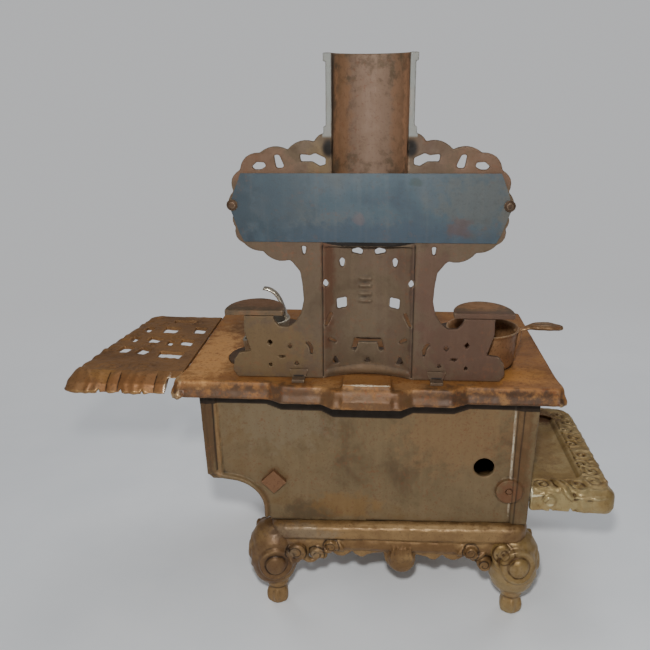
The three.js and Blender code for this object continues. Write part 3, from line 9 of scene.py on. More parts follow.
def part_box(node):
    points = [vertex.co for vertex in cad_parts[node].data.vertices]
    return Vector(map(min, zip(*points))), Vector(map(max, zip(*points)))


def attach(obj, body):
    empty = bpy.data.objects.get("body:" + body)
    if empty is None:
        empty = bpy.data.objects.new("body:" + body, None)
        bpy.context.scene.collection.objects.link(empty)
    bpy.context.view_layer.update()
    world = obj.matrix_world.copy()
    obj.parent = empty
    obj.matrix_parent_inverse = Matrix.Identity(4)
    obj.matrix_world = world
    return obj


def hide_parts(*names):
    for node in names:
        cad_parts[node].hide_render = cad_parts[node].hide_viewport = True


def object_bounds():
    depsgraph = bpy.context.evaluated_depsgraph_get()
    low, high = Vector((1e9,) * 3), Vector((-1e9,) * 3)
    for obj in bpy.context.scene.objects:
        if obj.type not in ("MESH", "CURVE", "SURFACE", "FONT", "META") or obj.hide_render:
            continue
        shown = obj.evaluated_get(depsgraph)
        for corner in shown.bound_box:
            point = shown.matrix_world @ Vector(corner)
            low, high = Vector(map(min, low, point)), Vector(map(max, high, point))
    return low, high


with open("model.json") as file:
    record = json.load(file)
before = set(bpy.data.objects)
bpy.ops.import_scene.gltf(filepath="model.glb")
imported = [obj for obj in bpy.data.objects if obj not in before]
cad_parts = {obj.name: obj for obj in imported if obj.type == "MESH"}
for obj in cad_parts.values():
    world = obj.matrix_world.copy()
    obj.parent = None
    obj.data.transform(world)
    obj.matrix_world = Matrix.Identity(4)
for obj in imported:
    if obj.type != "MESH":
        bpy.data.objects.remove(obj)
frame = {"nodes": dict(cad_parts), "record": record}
cad_box = [list(corner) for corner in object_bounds()]

# Lengths are in millimetres from the middle of the top plate, with z = 0 on the floor.
# The front faces -y, the firebox end is at -x and the reservoir end at +x
MM = 0.001
LID_ROW = 28.0
lid_low, lid_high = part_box("lid_rear_middle")
ORIGIN = np.array([(lid_low.x + lid_high.x) / 2, (lid_low.y + lid_high.y) / 2 - LID_ROW * MM, 0.0])
TOP = lid_high.z / MM
REAR = 61.8
FLUE_REAR = 63.6
SHELF_TOP = 148.7
HEARTH_TOP = 80.0
SHEET_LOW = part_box("blued_sheet")[0].z / MM
BOX = (np.array(cad_box) - ORIGIN) / MM
COARSE = 1.0
SLOTS = {row["node"]: row["material_slot"] for row in frame["record"]["subparts"]}
BODIES = {node: body for body, nodes in frame["record"]["behaviour"]["bodies"].items() for node in nodes}

# Repeatable noise, soft steps and bell curves
AXIS_HASH = (73856093, 19349663, 83492791)
SEED_HASH = 2654435761
MIX_HASH = 1274126177


def lattice(cell, seed):
    x, y, z = cell.T
    mixed = x * AXIS_HASH[0] ^ y * AXIS_HASH[1] ^ z * AXIS_HASH[2] ^ seed * SEED_HASH
    mixed = (mixed ^ (mixed >> 13)) * MIX_HASH
    return ((mixed ^ (mixed >> 16)) & 0xFFFF) / 32767.5 - 1.0


def noise(points, size, seed):
    scaled = points / size
    cell = np.floor(scaled).astype(np.int64)
    part = scaled - cell
    part = part * part * (3 - 2 * part)
    total = np.zeros(len(points))
    for dx in (0, 1):
        for dy in (0, 1):
            for dz in (0, 1):
                corner = np.array([dx, dy, dz])
                weight = np.prod(np.abs(1 - corner - part), axis=1)
                total += weight * lattice(cell + corner, seed)
    return total


def ramp(value, low, high):
    t = np.clip((value - low) / (high - low), 0, 1)
    return t * t * (3 - 2 * t)


def bell(distance, width):
    return np.exp(-(distance / width) ** 2)


def unit(vectors):
    return vectors / np.maximum(np.linalg.norm(vectors, axis=-1, keepdims=True), 1e-12)


def read(rows, field, width, kind=float):
    values = np.empty(len(rows) * width, kind)
    rows.foreach_get(field, values)
    return values.reshape(-1, width)


# Closed surfaces, each as (points, faces), and the paths and outlines that they follow
def node_solid(name):
    mesh = frame["nodes"][name].data
    mesh.calc_loop_triangles()
    corners = read(mesh.loop_triangles, "vertices", 3, np.int64)
    return (read(mesh.vertices, "co", 3) - ORIGIN) / MM, corners.tolist()


def rings_solid(rings):
    count = len(rings[0])
    points = np.vstack([np.asarray(ring, float) for ring in rings] + [
        np.mean(rings[0], axis=0, keepdims=True), np.mean(rings[-1], axis=0, keepdims=True)])
    faces = []
    for r in range(len(rings) - 1):
        for i in range(count):
            j = (i + 1) % count
            faces.append((r * count + i, r * count + j, (r + 1) * count + j, (r + 1) * count + i))
    first = len(rings) * count
    last = (len(rings) - 1) * count
    for i in range(count):
        j = (i + 1) % count
        faces.append((first, j, i))
        faces.append((first + 1, last + i, last + j))
    return points, faces


def lathe(profile, centre, segments=48):
    angles = np.linspace(0, 2 * math.pi, segments, endpoint=False)
    rings = []
    for radius, height in profile:
        radius = max(radius, 0.01)
        ring = (radius * np.cos(angles), radius * np.sin(angles), np.full(segments, float(height)))
        rings.append(np.column_stack(ring) + np.asarray(centre, float))
    return rings_solid(rings)


def ball(centre, radii, segments=24):
    profile = [(math.sin(math.pi * i / 12), -math.cos(math.pi * i / 12)) for i in range(13)]
    points, faces = lathe(profile, (0, 0, 0), segments)
    return points * np.asarray(radii, float) + np.asarray(centre, float), faces


def smooth_path(points, steps=6):
    points = np.asarray(points, float)
    padded = np.vstack([2 * points[0] - points[1], points, 2 * points[-1] - points[-2]])
    result = []
    for i in range(len(points) - 1):
        a, b, c, d = padded[i:i + 4]
        for s in range(steps):
            t = s / steps
            result.append(0.5 * (2 * b + (c - a) * t + (2 * a - 5 * b + 4 * c - d) * t * t
                                 + (3 * b - a - 3 * c + d) * t ** 3))
    result.append(points[-1])
    return np.array(result)


# A tube along a path, whose ends are rounded off by a smaller ring
CAP_SHARE = 0.6


def tube(points, radii, sides=12, flat=(1.0, 1.0), up=None):
    points = np.asarray(points, float)
    count = len(points)
    radii = np.interp(np.linspace(0, 1, count), np.linspace(0, 1, np.size(radii)), np.ravel(radii))
    tangents = unit(np.gradient(points, axis=0))
    if up is None:
        up = (0, 0, 1) if abs(tangents[0][2]) < 0.9 else (1, 0, 0)
    guide = np.asarray(up, float)
    angles = np.linspace(0, 2 * math.pi, sides, endpoint=False)[:, None]
    rings = []
    for point, tangent, radius in zip(points, tangents, radii):
        guide = unit(guide - tangent * guide.dot(tangent))
        side = np.cross(tangent, guide)
        across = np.cos(angles) * guide * flat[0] + np.sin(angles) * side * flat[1]
        if not rings:
            rings.append(point - tangent * radius * CAP_SHARE + across * radius * CAP_SHARE)
        rings.append(point + across * radius)
    rings.append(points[-1] + tangents[-1] * radii[-1] * CAP_SHARE + across * radii[-1] * CAP_SHARE)
    return rings_solid(rings)


def spiral(centre, start, end, turns, angle, plane="y", hand=1, steps=36):
    t = np.linspace(0, 1, steps)
    radius = start + (end - start) * t
    turn = angle + hand * 2 * math.pi * turns * t
    u, v = radius * np.cos(turn), radius * np.sin(turn)
    zero = np.zeros(steps)
    columns = {"y": (u, zero, v), "x": (zero, u, v)}[plane]
    return np.column_stack(columns) + np.asarray(centre, float)


def offset(outline, distance):
    outline = np.asarray(outline, float)
    before = unit(outline - np.roll(outline, 1, axis=0))
    after = unit(np.roll(outline, -1, axis=0) - outline)
    before = np.column_stack([before[:, 1], -before[:, 0]])
    after = np.column_stack([after[:, 1], -after[:, 0]])
    middle = before + after
    return outline + middle * distance / (1 + np.sum(before * after, axis=1, keepdims=True))


def offset_rings(outline, profile):
    return [np.column_stack([offset(outline, out), np.full(len(outline), float(z))]) for out, z in profile]


def moulding(outline, profile):
    rings = offset_rings(outline, profile)
    count = len(outline)
    faces = []
    for r in range(len(rings)):
        here, there = r * count, (r + 1) % len(rings) * count
        for i in range(count):
            j = (i + 1) % count
            faces.append((here + i, here + j, there + j, there + i))
    return np.vstack(rings), faces


def rounded(x0, x1, y0, y1, radius, steps=8):
    points = []
    for cx, cy, start in ((x1 - radius, y0 + radius, -90), (x1 - radius, y1 - radius, 0),
                          (x0 + radius, y1 - radius, 90), (x0 + radius, y0 + radius, 180)):
        for i in range(steps + 1):
            angle = math.radians(start + 90 * i / steps)
            points.append((cx + radius * math.cos(angle), cy + radius * math.sin(angle)))
    return points


def merged(solids):
    points, faces, start = [], [], 0
    for some, corners in solids:
        points.append(np.asarray(some, float))
        faces.extend(tuple(int(i) + start for i in face) for face in corners)
        start += len(some)
    return np.vstack(points), faces


# Materials: painted and worn cast iron, all from noise in object space
def srgb(red, green, blue):
    return tuple((c / 12.92 if c <= 0.04045 else ((c + 0.055) / 1.055) ** 2.4)
                 for c in (red / 255, green / 255, blue / 255)) + (1.0,)


DARK_RUN = srgb(60, 48, 36)
PALE_RUN = srgb(168, 146, 112)
BACKDROP = srgb(196, 197, 199)


class Shader:
    def __init__(self, name):
        self.material = bpy.data.materials.new(name)
        self.material.use_nodes = True
        self.tree = self.material.node_tree
        self.tree.nodes.clear()
        self.place = self.add("ShaderNodeTexCoord").outputs["Object"]

    def add(self, kind, **settings):
        node = self.tree.nodes.new(kind)
        for key, value in settings.items():
            setattr(node, key, value)
        return node

    def put(self, value, socket):
        if isinstance(value, bpy.types.NodeSocket):
            self.tree.links.new(value, socket)
        else:
            socket.default_value = value

    def scaled(self, place, sizes):
        node = self.add("ShaderNodeVectorMath", operation="MULTIPLY")
        self.put(place, node.inputs[0])
        node.inputs[1].default_value = tuple(1 / MM / size for size in sizes)
        return node.outputs[0]

    def noise(self, size, detail=3.0, rough=0.55, stretch=(1, 1, 1), distortion=0.0):
        node = self.add("ShaderNodeTexNoise")
        self.put(self.scaled(self.place, [size * s for s in stretch]), node.inputs["Vector"])
        node.inputs["Scale"].default_value = 1.0
        node.inputs["Detail"].default_value = detail
        node.inputs["Roughness"].default_value = rough
        node.inputs["Distortion"].default_value = distortion
        return node.outputs["Fac"]

    def cells(self, size):
        node = self.add("ShaderNodeTexVoronoi")
        self.put(self.scaled(self.place, [size] * 3), node.inputs["Vector"])
        node.inputs["Scale"].default_value = 1.0
        return node.outputs["Distance"]

    def range(self, value, low, high, start=0.0, end=1.0):
        node = self.add("ShaderNodeMapRange", interpolation_type="SMOOTHSTEP")
        for socket, number in zip(node.inputs, (value, low, high, start, end)):
            self.put(number, socket)
        return node.outputs["Result"]

    def maths(self, operation, a, b):
        node = self.add("ShaderNodeMath", operation=operation)
        self.put(a, node.inputs[0])
        self.put(b, node.inputs[1])
        return node.outputs[0]

    def colours(self, value, stops):
        node = self.add("ShaderNodeValToRGB")
        elements = node.color_ramp.elements
        while len(elements) < len(stops):
            elements.new(0.5)
        for element, (place, colour) in zip(elements, stops):
            element.position = place
            element.color = colour
        self.put(value, node.inputs["Fac"])
        return node.outputs["Color"]

    def mix(self, amount, a, b):
        node = self.add("ShaderNodeMix", data_type="RGBA")
        self.put(amount, node.inputs["Factor"])
        self.put(a, node.inputs["A"])
        self.put(b, node.inputs["B"])
        return node.outputs["Result"]

    def attribute(self, name):
        return self.add("ShaderNodeAttribute", attribute_name=name).outputs["Fac"]

    def near(self, centre, radii):
        shift = self.add("ShaderNodeVectorMath", operation="SUBTRACT")
        self.put(self.place, shift.inputs[0])
        shift.inputs[1].default_value = tuple(ORIGIN + np.array(centre) * MM)
        length = self.add("ShaderNodeVectorMath", operation="LENGTH")
        self.put(self.scaled(shift.outputs[0], radii), length.inputs[0])
        return length.outputs["Value"]

    def finish(self, surface):
        self.put(surface, self.add("ShaderNodeOutputMaterial").inputs["Surface"])
        return self.material


# A coat of paint: blotches, patches, runs, specks and rust, then the grime and painted shade in a
# casting's hollows and shadows, and the rubbed metal that its wear mask asks for
def paint(name, blotches, specks=None, rust=None, worn=None, grime_and_shade=None, patches=(), streak=0.0,
          metallic=0.35, rough=(0.42, 0.66), bump=0.25, pits=0.0, wear=1.0, bare=None):
    s = Shader(name)
    wide = s.noise(26.0, 4.0, 0.6, distortion=0.4)
    stops = [(0.3 + 0.4 * i / (len(blotches) - 1), srgb(*c)) for i, c in enumerate(blotches)]
    colour = s.colours(wide, stops)
    middle = s.noise(5.5, 4.0, 0.65)
    for centre, radii, tint, amount in patches:
        reach = s.maths("ADD", s.near(centre, radii), s.range(middle, 0.3, 0.7, -0.3, 0.3))
        colour = s.mix(s.range(reach, 1.1, 0.45, 0.0, amount), colour, srgb(*tint))
    if streak:
        runs = s.noise(4.0, 3.0, 0.6, stretch=(1, 1, 14))
        colour = s.mix(s.range(runs, 0.45, 0.7, 0.0, streak), colour, DARK_RUN)
        colour = s.mix(s.range(runs, 0.5, 0.3, 0.0, streak * 0.6), colour, PALE_RUN)
    if specks:
        tint, amount = specks
        dots = s.noise(1.3, 2.0, 0.5)
        colour = s.mix(s.range(dots, 0.56, 0.68, 0.0, amount), colour, srgb(*tint))
    if rust:
        tint, amount = rust
        spots = s.noise(2.6, 5.0, 0.7)
        gate = s.range(s.noise(17.0, 2.0, 0.5), 0.42, 0.62)
        colour = s.mix(s.maths("MULTIPLY", s.range(spots, 0.52, 0.66, 0.0, amount), gate),
                       colour, srgb(*tint))
    rubbed = s.range(s.attribute("wear"), 0.25, 0.8)
    broken = s.range(s.noise(2.2, 4.0, 0.7), 0.34, 0.6)
    rubbed = s.maths("MULTIPLY", s.maths("MULTIPLY", rubbed, broken), wear)
    # Grime in hollows together with painted shade: dark creases and painted cast shadows share this mask
    # and this colour
    if grime_and_shade:
        tint, amount = grime_and_shade
        hollow = s.maths("MULTIPLY", s.range(s.attribute("dirt_and_shade"), 0.15, 0.8), amount)
        colour = s.mix(hollow, colour, srgb(*tint))
    if worn:
        colour = s.mix(rubbed, colour, srgb(*worn))
    if bare:
        colour = s.mix(s.maths("MULTIPLY", s.attribute("bare"), s.range(middle, 0.3, 0.7, 0.7, 1.0)),
                       colour, srgb(*bare))
    shine = s.range(rubbed, 0.0, 1.0, metallic, metallic + 0.4)
    gloss = s.range(middle, 0.3, 0.7, rough[0], rough[1])
    gloss = s.maths("SUBTRACT", gloss, s.maths("MULTIPLY", rubbed, 0.14))
    relief = s.maths("ADD", s.maths("MULTIPLY", s.noise(0.9, 3.0, 0.6), 0.5),
                     s.maths("MULTIPLY", s.noise(3.2, 3.0, 0.6), 0.5))
    if pits:
        relief = s.maths("SUBTRACT", relief, s.range(s.cells(3.4), 0.02, 0.2, pits, 0.0))
    bumps = s.add("ShaderNodeBump")
    bumps.inputs["Strength"].default_value = bump
    bumps.inputs["Distance"].default_value = 0.5 * MM
    s.put(relief, bumps.inputs["Height"])
    body = s.add("ShaderNodeBsdfPrincipled")
    body.inputs["Specular IOR Level"].default_value = 0.3
    s.put(colour, body.inputs["Base Color"])
    s.put(shine, body.inputs["Metallic"])
    s.put(gloss, body.inputs["Roughness"])
    s.put(bumps.outputs["Normal"], body.inputs["Normal"])
    return s.finish(body.outputs["BSDF"])


# Patches of a paint, each as its centre, its radii, its colour and its strength
TOP_PATCHES = [
    ((0, 78, TOP - 5), (120, 14, 9), (84, 62, 44), 0.8),
    ((88, 78, TOP - 6), (70, 9, 13), (84, 62, 45), 0.9),
    ((-88, 78, TOP - 6), (70, 9, 13), (70, 50, 36), 0.9),
    ((0, 79, TOP - 6), (28, 4, 8), (94, 70, 44), 0.8),
    ((0, 71, TOP + 4), (14, 10, 3), (150, 104, 58), 0.7),
    # A pale line along the smoke box's rear top edge: rubbed metal and a painted highlight
    ((0.8, 79.5, TOP + 2.9), (15.0, 1.0, 0.55), (208, 192, 168), 0.9),
    ((60, -20, TOP), (50, 60, 8), (126, 92, 60), 0.6),
    ((94, 30, TOP), (15, 60, 6), (196, 144, 88), 0.8),
    ((22, 72, TOP), (10, 8, 5), (172, 128, 80), 0.7),
    ((-22, 72, TOP), (10, 8, 5), (168, 124, 78), 0.7),
    ((-64, 28, TOP), (30, 30, 4), (104, 66, 36), 0.4),
    ((-78, 52, TOP), (26, 16, 4), (180, 124, 60), 0.7)]
BODY_PATCHES = [
    ((34, REAR, 64), (19, 6, 9), (64, 50, 33), 0.6),
    ((12, REAR, 69), (24, 6, 9), (126, 92, 48), 0.5),
    ((-83.2, REAR + 0.8, 108), (1.0, 1.4, 44), (206, 194, 170), 0.95),
    ((62, REAR + 1.2, 68), (5, 3, 14), (112, 80, 52), 0.5),
    ((-88, REAR + 2, 110), (7, 6, 60), (94, 66, 38), 0.7),
    ((92, REAR + 2, 115), (6, 6, 44), (84, 60, 38), 0.8),
    # Painted highlight along the inner edge of the rolled border on the +x corner strip
    ((86.6, REAR + 1, 112), (1.9, 3, 44), (146, 112, 72), 0.5),
    ((54.2, REAR + 3, 84.5), (9, 5, 9), (112, 76, 50), 0.9),
    ((-82.4, REAR + 3, 82.7), (9, 5, 9), (106, 70, 46), 0.9),
    ((-50, REAR, 118), (40, 6, 30), (124, 96, 64), 0.6),
    ((50, REAR, 125), (34, 6, 26), (118, 104, 82), 0.5)]
BASE_PATCHES = [
    # Painted highlight: a grey-white sheen on the band moulding's upper part at the +x end
    ((40, 66, 52), (26, 8, 6), (128, 116, 98), 0.5),
    ((56, 66, 36), (20, 20, 24), (86, 60, 42), 0.6),
    # Painted highlight along the top of the band moulding
    ((-30, 67, 59.2), (66, 6, 2.6), (176, 146, 104), 0.6),
    ((44, 68, 41), (6, 5, 6), (126, 110, 88), 0.5),
    ((31, 68, 40), (5, 4, 5), (130, 116, 94), 0.5),
    ((-22, 66, 44), (80, 8, 5), (100, 70, 40), 0.6)]
GILT_PATCHES = [
    ((-116, -43, 82), (18, 14, 8), (92, 54, 22), 0.9),
    ((-89, 58, 30), (22, 22, 36), (146, 124, 92), 0.6),
    ((-112, 0, 80), (12, 40, 3), (118, 88, 52), 0.6),
    ((-102, -5, 80), (7, 34, 3), (124, 112, 80), 0.5),
    ((-120, 58, 76), (26, 8, 9), (166, 150, 108), 0.5),
    # Near-white lines on the hearth's inner end, near edge and curl: painted highlights on rubbed edges
    ((-99.6, 59.4, 77.8), (5, 2.4, 1.0), (232, 222, 184), 0.9),
    ((-96.4, 58, 79.6), (1.2, 3, 4), (236, 228, 196), 0.9),
    ((-128, 60, 77.4), (9, 2.4, 1.2), (214, 204, 160), 0.7),
    ((-107.4, 61, 72.6), (3.4, 1.6, 1.4), (224, 212, 170), 0.7)]
FLUE_PATCHES = [
    ((60, FLUE_REAR, 166), (34, 8, 26), (102, 82, 54), 0.8),
    ((62, 48, TOP + 38), (24, 16, 4), (116, 84, 60), 0.9),
    ((-60, 48, TOP + 38), (24, 16, 4), (136, 98, 64), 0.9),
    ((-58, FLUE_REAR, 172), (36, 8, 34), (84, 60, 48), 0.8),
    ((-34, FLUE_REAR, 205), (10, 8, 30), (88, 64, 52), 0.7),
    # Painted shade down the hollow panel's sides, darker on the +x side, and painted light in its middle
    ((22, 60, 205), (4.2, 12, 46), (82, 54, 38), 0.85),
    ((-23.4, 61, 200), (1.6, 12, 50), (66, 50, 42), 0.6),
    ((2, 56, 180), (14, 8, 22), (98, 84, 66), 0.6),
    ((0, 44, 290), (22, 30, 44), (126, 103, 87), 0.8),
    ((15, 52, 290), (6, 12, 40), (128, 94, 66), 0.7),
    ((-15, 52, 290), (6, 12, 40), (126, 94, 70), 0.7),
    ((0, 44, 240), (22, 30, 18), (110, 92, 74), 0.8),
    # Painted shadow of the chimney's flange down the inside beside its +x cut edge
    ((19.6, 60, 305), (1.8, 5, 26), (54, 46, 40), 0.9),
    ((-18.6, 57, 292), (2.6, 8, 44), (150, 112, 84), 0.8),
    ((18.6, 52, 285), (2.4, 7, 44), (146, 108, 78), 0.7),
    ((60, FLUE_REAR, 268), (26, 10, 14), (106, 78, 60), 0.7),
    ((-60, FLUE_REAR, 268), (26, 10, 14), (104, 77, 60), 0.7),
    ((25, FLUE_REAR, 268), (8, 10, 12), (110, 90, 58), 0.5),
    ((0, 56.5, TOP + 3.4), (24, 9, 4.2), (108, 84, 60), 0.7)]
SHELF_PATCHES = [
    ((140, 62, 144), (30, 9, 9), (136, 92, 54), 0.8),
    # Painted highlights: a soft golden one on the rear fold and a pale one down the inner end
    ((154, 58, 148), (10, 7, 7), (162, 120, 68), 0.5),
    ((114, 63, 143), (2.0, 9, 10), (224, 214, 198), 0.95)]
BLUED_PATCHES = [
    ((0, 64, SHEET_LOW + 3), (90, 6, 10), (60, 72, 83), 0.85),
    ((72, 64, SHEET_LOW + 18), (16, 6, 34), (56, 66, 74), 0.7),
    ((50, 64, SHEET_LOW + 20), (26, 6, 30), (62, 72, 79), 0.6),
    ((-56, 64, SHEET_LOW + 22), (24, 6, 20), (86, 86, 82), 0.6),
    ((-47, 64, SHEET_LOW + 8), (7, 6, 6), (86, 66, 64), 0.55),
    ((5, 64, SHEET_LOW + 12), (3.6, 6, 4), (96, 84, 84), 0.5),
    ((-24, 64, SHEET_LOW + 31), (4, 6, 2.4), (56, 66, 62), 0.5),
    ((-72, 64, SHEET_LOW + 18), (6, 6, 26), (96, 92, 84), 0.5)]
PAN_PATCHES = [
    ((-66, 32, TOP + 6), (17, 17, 14), (74, 46, 28), 0.7),
    ((-102, 32, TOP + 22), (16, 9, 7), (98, 78, 54), 0.7)]

# Paints, each for the record's material slot of the same name; each grime colour also paints the painted
# shade and painted shadows on its castings
PAINTS = {
    "top": paint(
        "top_paint", [(112, 74, 41), (136, 92, 53), (149, 103, 57), (138, 105, 67)],
        specks=((88, 56, 32), 0.35), rust=((116, 66, 32), 0.6), worn=(190, 158, 116),
        grime_and_shade=((50, 32, 20), 0.9), metallic=0.2, rough=(0.42, 0.62), pits=0.4, patches=TOP_PATCHES),
    "body": paint(
        "body_paint", [(88, 71, 49), (106, 89, 63), (113, 95, 68), (109, 87, 57)],
        specks=((98, 66, 44), 0.35), rust=((116, 76, 48), 0.4), worn=(172, 142, 104), streak=0.06,
        grime_and_shade=((36, 26, 18), 0.92), metallic=0.25, rough=(0.45, 0.66), pits=0.35, patches=BODY_PATCHES),
    "base": paint(
        "base_paint", [(94, 68, 42), (120, 92, 59), (140, 111, 73), (129, 101, 66)],
        specks=((78, 50, 30), 0.35), worn=(176, 148, 108), grime_and_shade=((38, 26, 18), 0.9), wear=0.6,
        metallic=0.35, rough=(0.38, 0.56), patches=BASE_PATCHES),
    "gilt": paint(
        "gilt_paint", [(114, 88, 50), (140, 114, 70), (156, 134, 92), (142, 108, 62)],
        specks=((104, 72, 40), 0.3), worn=(196, 178, 136), grime_and_shade=((70, 46, 24), 0.9), wear=0.7,
        metallic=0.4, rough=(0.34, 0.52), patches=GILT_PATCHES),
    "flue": paint(
        "flue_paint", [(78, 63, 48), (91, 76, 59), (91, 74, 59), (86, 67, 54)],
        specks=((74, 54, 42), 0.25), rust=((118, 76, 52), 0.35), worn=(140, 122, 100), streak=0.04,
        grime_and_shade=((16, 11, 8), 0.97), metallic=0.15, rough=(0.55, 0.75), patches=FLUE_PATCHES,
        bare=(132, 134, 130)),
    "shelf": paint(
        "shelf_paint", [(105, 75, 48), (125, 91, 59), (137, 100, 64), (144, 103, 59)],
        specks=((78, 52, 34), 0.4), worn=(178, 140, 92), grime_and_shade=((46, 30, 20), 0.9), wear=0.7,
        metallic=0.35, rough=(0.4, 0.6), patches=SHELF_PATCHES),
    "blued": paint(
        "blued_steel", [(62, 73, 82), (67, 80, 88), (74, 83, 89), (80, 84, 85)],
        specks=((66, 66, 66), 0.25), rust=((98, 78, 68), 0.35), worn=(150, 156, 156), streak=0.04,
        grime_and_shade=((44, 46, 52), 0.7), metallic=0.4, rough=(0.42, 0.58), bump=0.12, patches=BLUED_PATCHES),
    "iron": paint(
        "dark_iron", [(58, 46, 36), (78, 60, 46), (90, 68, 50), (72, 58, 46)],
        specks=((40, 30, 24), 0.5), rust=((112, 68, 38), 0.6), worn=(150, 132, 108),
        grime_and_shade=((28, 22, 18), 0.8), metallic=0.4, rough=(0.42, 0.62)),
    "sheet_iron": paint(
        "sheet_iron", [(54, 48, 42), (66, 58, 50), (74, 64, 54), (62, 52, 44)],
        specks=((40, 34, 30), 0.4), rust=((104, 66, 42), 0.6), worn=(120, 112, 102),
        grime_and_shade=((30, 26, 22), 0.7), metallic=0.4, rough=(0.45, 0.65)),
    "steel": paint(
        "grey_metal", [(108, 98, 86), (136, 126, 112), (152, 142, 126), (126, 112, 94)],
        specks=((84, 70, 58), 0.4), rust=((120, 84, 56), 0.4), worn=(220, 212, 192),
        grime_and_shade=((56, 44, 34), 0.85), metallic=0.6, rough=(0.32, 0.5)),
}

# Paints of single pieces, in place of their slot's own
NUT_PAINT = paint(
    "nut_paint", [(92, 64, 44), (110, 78, 54), (118, 84, 58)], specks=((74, 48, 32), 0.4),
    worn=(140, 108, 80), grime_and_shade=((40, 28, 20), 0.9), wear=0.35, metallic=0.25, rough=(0.5, 0.68), pits=0.3)
PAN_PAINT = paint(
    "pan_iron", [(110, 77, 50), (134, 96, 65), (149, 113, 79), (127, 94, 65)],
    specks=((60, 44, 34), 0.4), rust=((120, 74, 42), 0.5), worn=(182, 156, 120),
    grime_and_shade=((46, 32, 22), 0.85), metallic=0.4, rough=(0.4, 0.6), patches=PAN_PATCHES)


def placed(name, data):
    thing = bpy.data.objects.new(name, data)
    bpy.context.scene.collection.objects.link(thing)
    return thing


# Castings: closed solids melted together, softened, carved and worn, with masks for rubbed edges and for
# grime and painted shade in hollows
SHRINK, SWELL = 0.5, 0.52
WEAR_GAIN, DIRT_AND_SHADE_GAIN = 2.2, 3.6
GRAIN = 0.06


def edge_mean(values, edges, degree):
    total = np.zeros_like(values)
    if values.ndim == 1:
        total += np.bincount(edges[:, 0], values[edges[:, 1]], len(values))
        total += np.bincount(edges[:, 1], values[edges[:, 0]], len(values))
        return total / degree
    for axis in range(values.shape[1]):
        total[:, axis] = edge_mean(values[:, axis], edges, degree)
    return total


def vertex_normals(mesh, points):
    mesh.vertices.foreach_set("co", points.ravel())
    mesh.update()
    return read(mesh.vertices, "normal", 3)


def melted(name, solids, voxel):
    points, faces = merged(solids)
    raw = bpy.data.meshes.new(f"{name}.raw")
    raw.from_pydata(points.tolist(), [], faces)
    source = placed(f"{name}.raw", raw)
    melt = source.modifiers.new("melt", "REMESH")
    melt.mode = "VOXEL"
    melt.voxel_size = voxel
    graph = bpy.context.evaluated_depsgraph_get()
    mesh = bpy.data.meshes.new_from_object(source.evaluated_get(graph))
    mesh.name = f"{name}.cast"
    bpy.data.objects.remove(source)
    bpy.data.meshes.remove(raw)
    return mesh


def cast(name, solids, voxel, smooth, relief=None, material=None, painted_shade=None, bare=None):
    voxel = voxel * COARSE
    mesh = melted(name, solids, voxel)
    points = read(mesh.vertices, "co", 3)
    edges = read(mesh.edges, "vertices", 2, np.int64)
    degree = np.maximum(np.bincount(edges.ravel(), minlength=len(points)), 1).astype(float)
    for _ in range(smooth):
        points += SHRINK * (edge_mean(points, edges, degree) - points)
        points -= SWELL * (edge_mean(points, edges, degree) - points)
    normals = vertex_normals(mesh, points)
    if relief:
        points = points + normals * relief(points, normals)[:, None]
    normals = vertex_normals(mesh, points)
    bend = np.sum((points - edge_mean(points, edges, degree)) * normals, axis=1)
    bend = bend / voxel ** 2
    for _ in range(3):
        bend = 0.5 * bend + 0.5 * edge_mean(bend, edges, degree)
    # Hollows darken as grime and as painted shade; a casting's own painted shade (dark creases, painted
    # cast shadows) joins the same mask
    masks = {"wear": WEAR_GAIN * bend, "dirt_and_shade": -DIRT_AND_SHADE_GAIN * bend}
    if painted_shade:
        masks["dirt_and_shade"] = np.maximum(masks["dirt_and_shade"], painted_shade(points, normals))
    if bare:
        masks["bare"] = bare(points, normals)
    for label, values in masks.items():
        layer = mesh.attributes.new(label, "FLOAT", "POINT")
        layer.data.foreach_set("value", np.clip(values, 0, 1).astype(np.float32))
    rough = 0.6 * noise(points, 2.4, 11) + 0.4 * noise(points, 1.1, 12)
    points = points + normals * (GRAIN * rough)[:, None]
    points = np.clip(points, BOX[0], BOX[1])
    mesh.vertices.foreach_set("co", (points * MM + ORIGIN).ravel())
    mesh.polygons.foreach_set("use_smooth", np.ones(len(mesh.polygons), bool))
    mesh.update()
    mesh.materials.append(material or PAINTS[SLOTS[name]])
    piece = placed(f"{name}_casting", mesh)
    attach(piece, BODIES[name])
    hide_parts(name)


# Camera: where the photograph was taken from, nearly as high as the chimney's top
FOCAL_PIXELS, FRAME_PIXELS = 740.0, 650.0
YAW, PITCH, ROLL = 0.0804, 0.3118, -0.0075
EYE = (-7.6, 447.47, 305.84)
SENSOR = 36.0


def look():
    forward = Vector((math.sin(YAW) * math.cos(PITCH), -math.cos(YAW) * math.cos(PITCH), -math.sin(PITCH)))
    right = forward.cross(Vector((0, 0, 1))).normalized()
    up = right.cross(forward)
    c, s = math.cos(ROLL), math.sin(ROLL)
    right, up = right * c + up * s, up * c - right * s
    data = bpy.data.cameras.new("camera")
    data.sensor_width = SENSOR
    data.lens = FOCAL_PIXELS / FRAME_PIXELS * SENSOR
    data.clip_start = 0.02
    data.clip_end = 20.0
    camera = placed("camera", data)
    place = Vector(ORIGIN) + Vector(EYE) * MM
    camera.matrix_world = Matrix.Translation(place) @ Matrix(
        [[right.x, up.x, -forward.x], [right.y, up.y, -forward.y], [right.z, up.z, -forward.z]]).to_4x4()
    bpy.context.scene.camera = camera


# Studio: a small lamp where the photograph's flash was and soft ones round it, placed in metres
FLASH = (2.0, 440.0, 368.0)
STOVE_MIDDLE = (0, 40.0, 130.0)


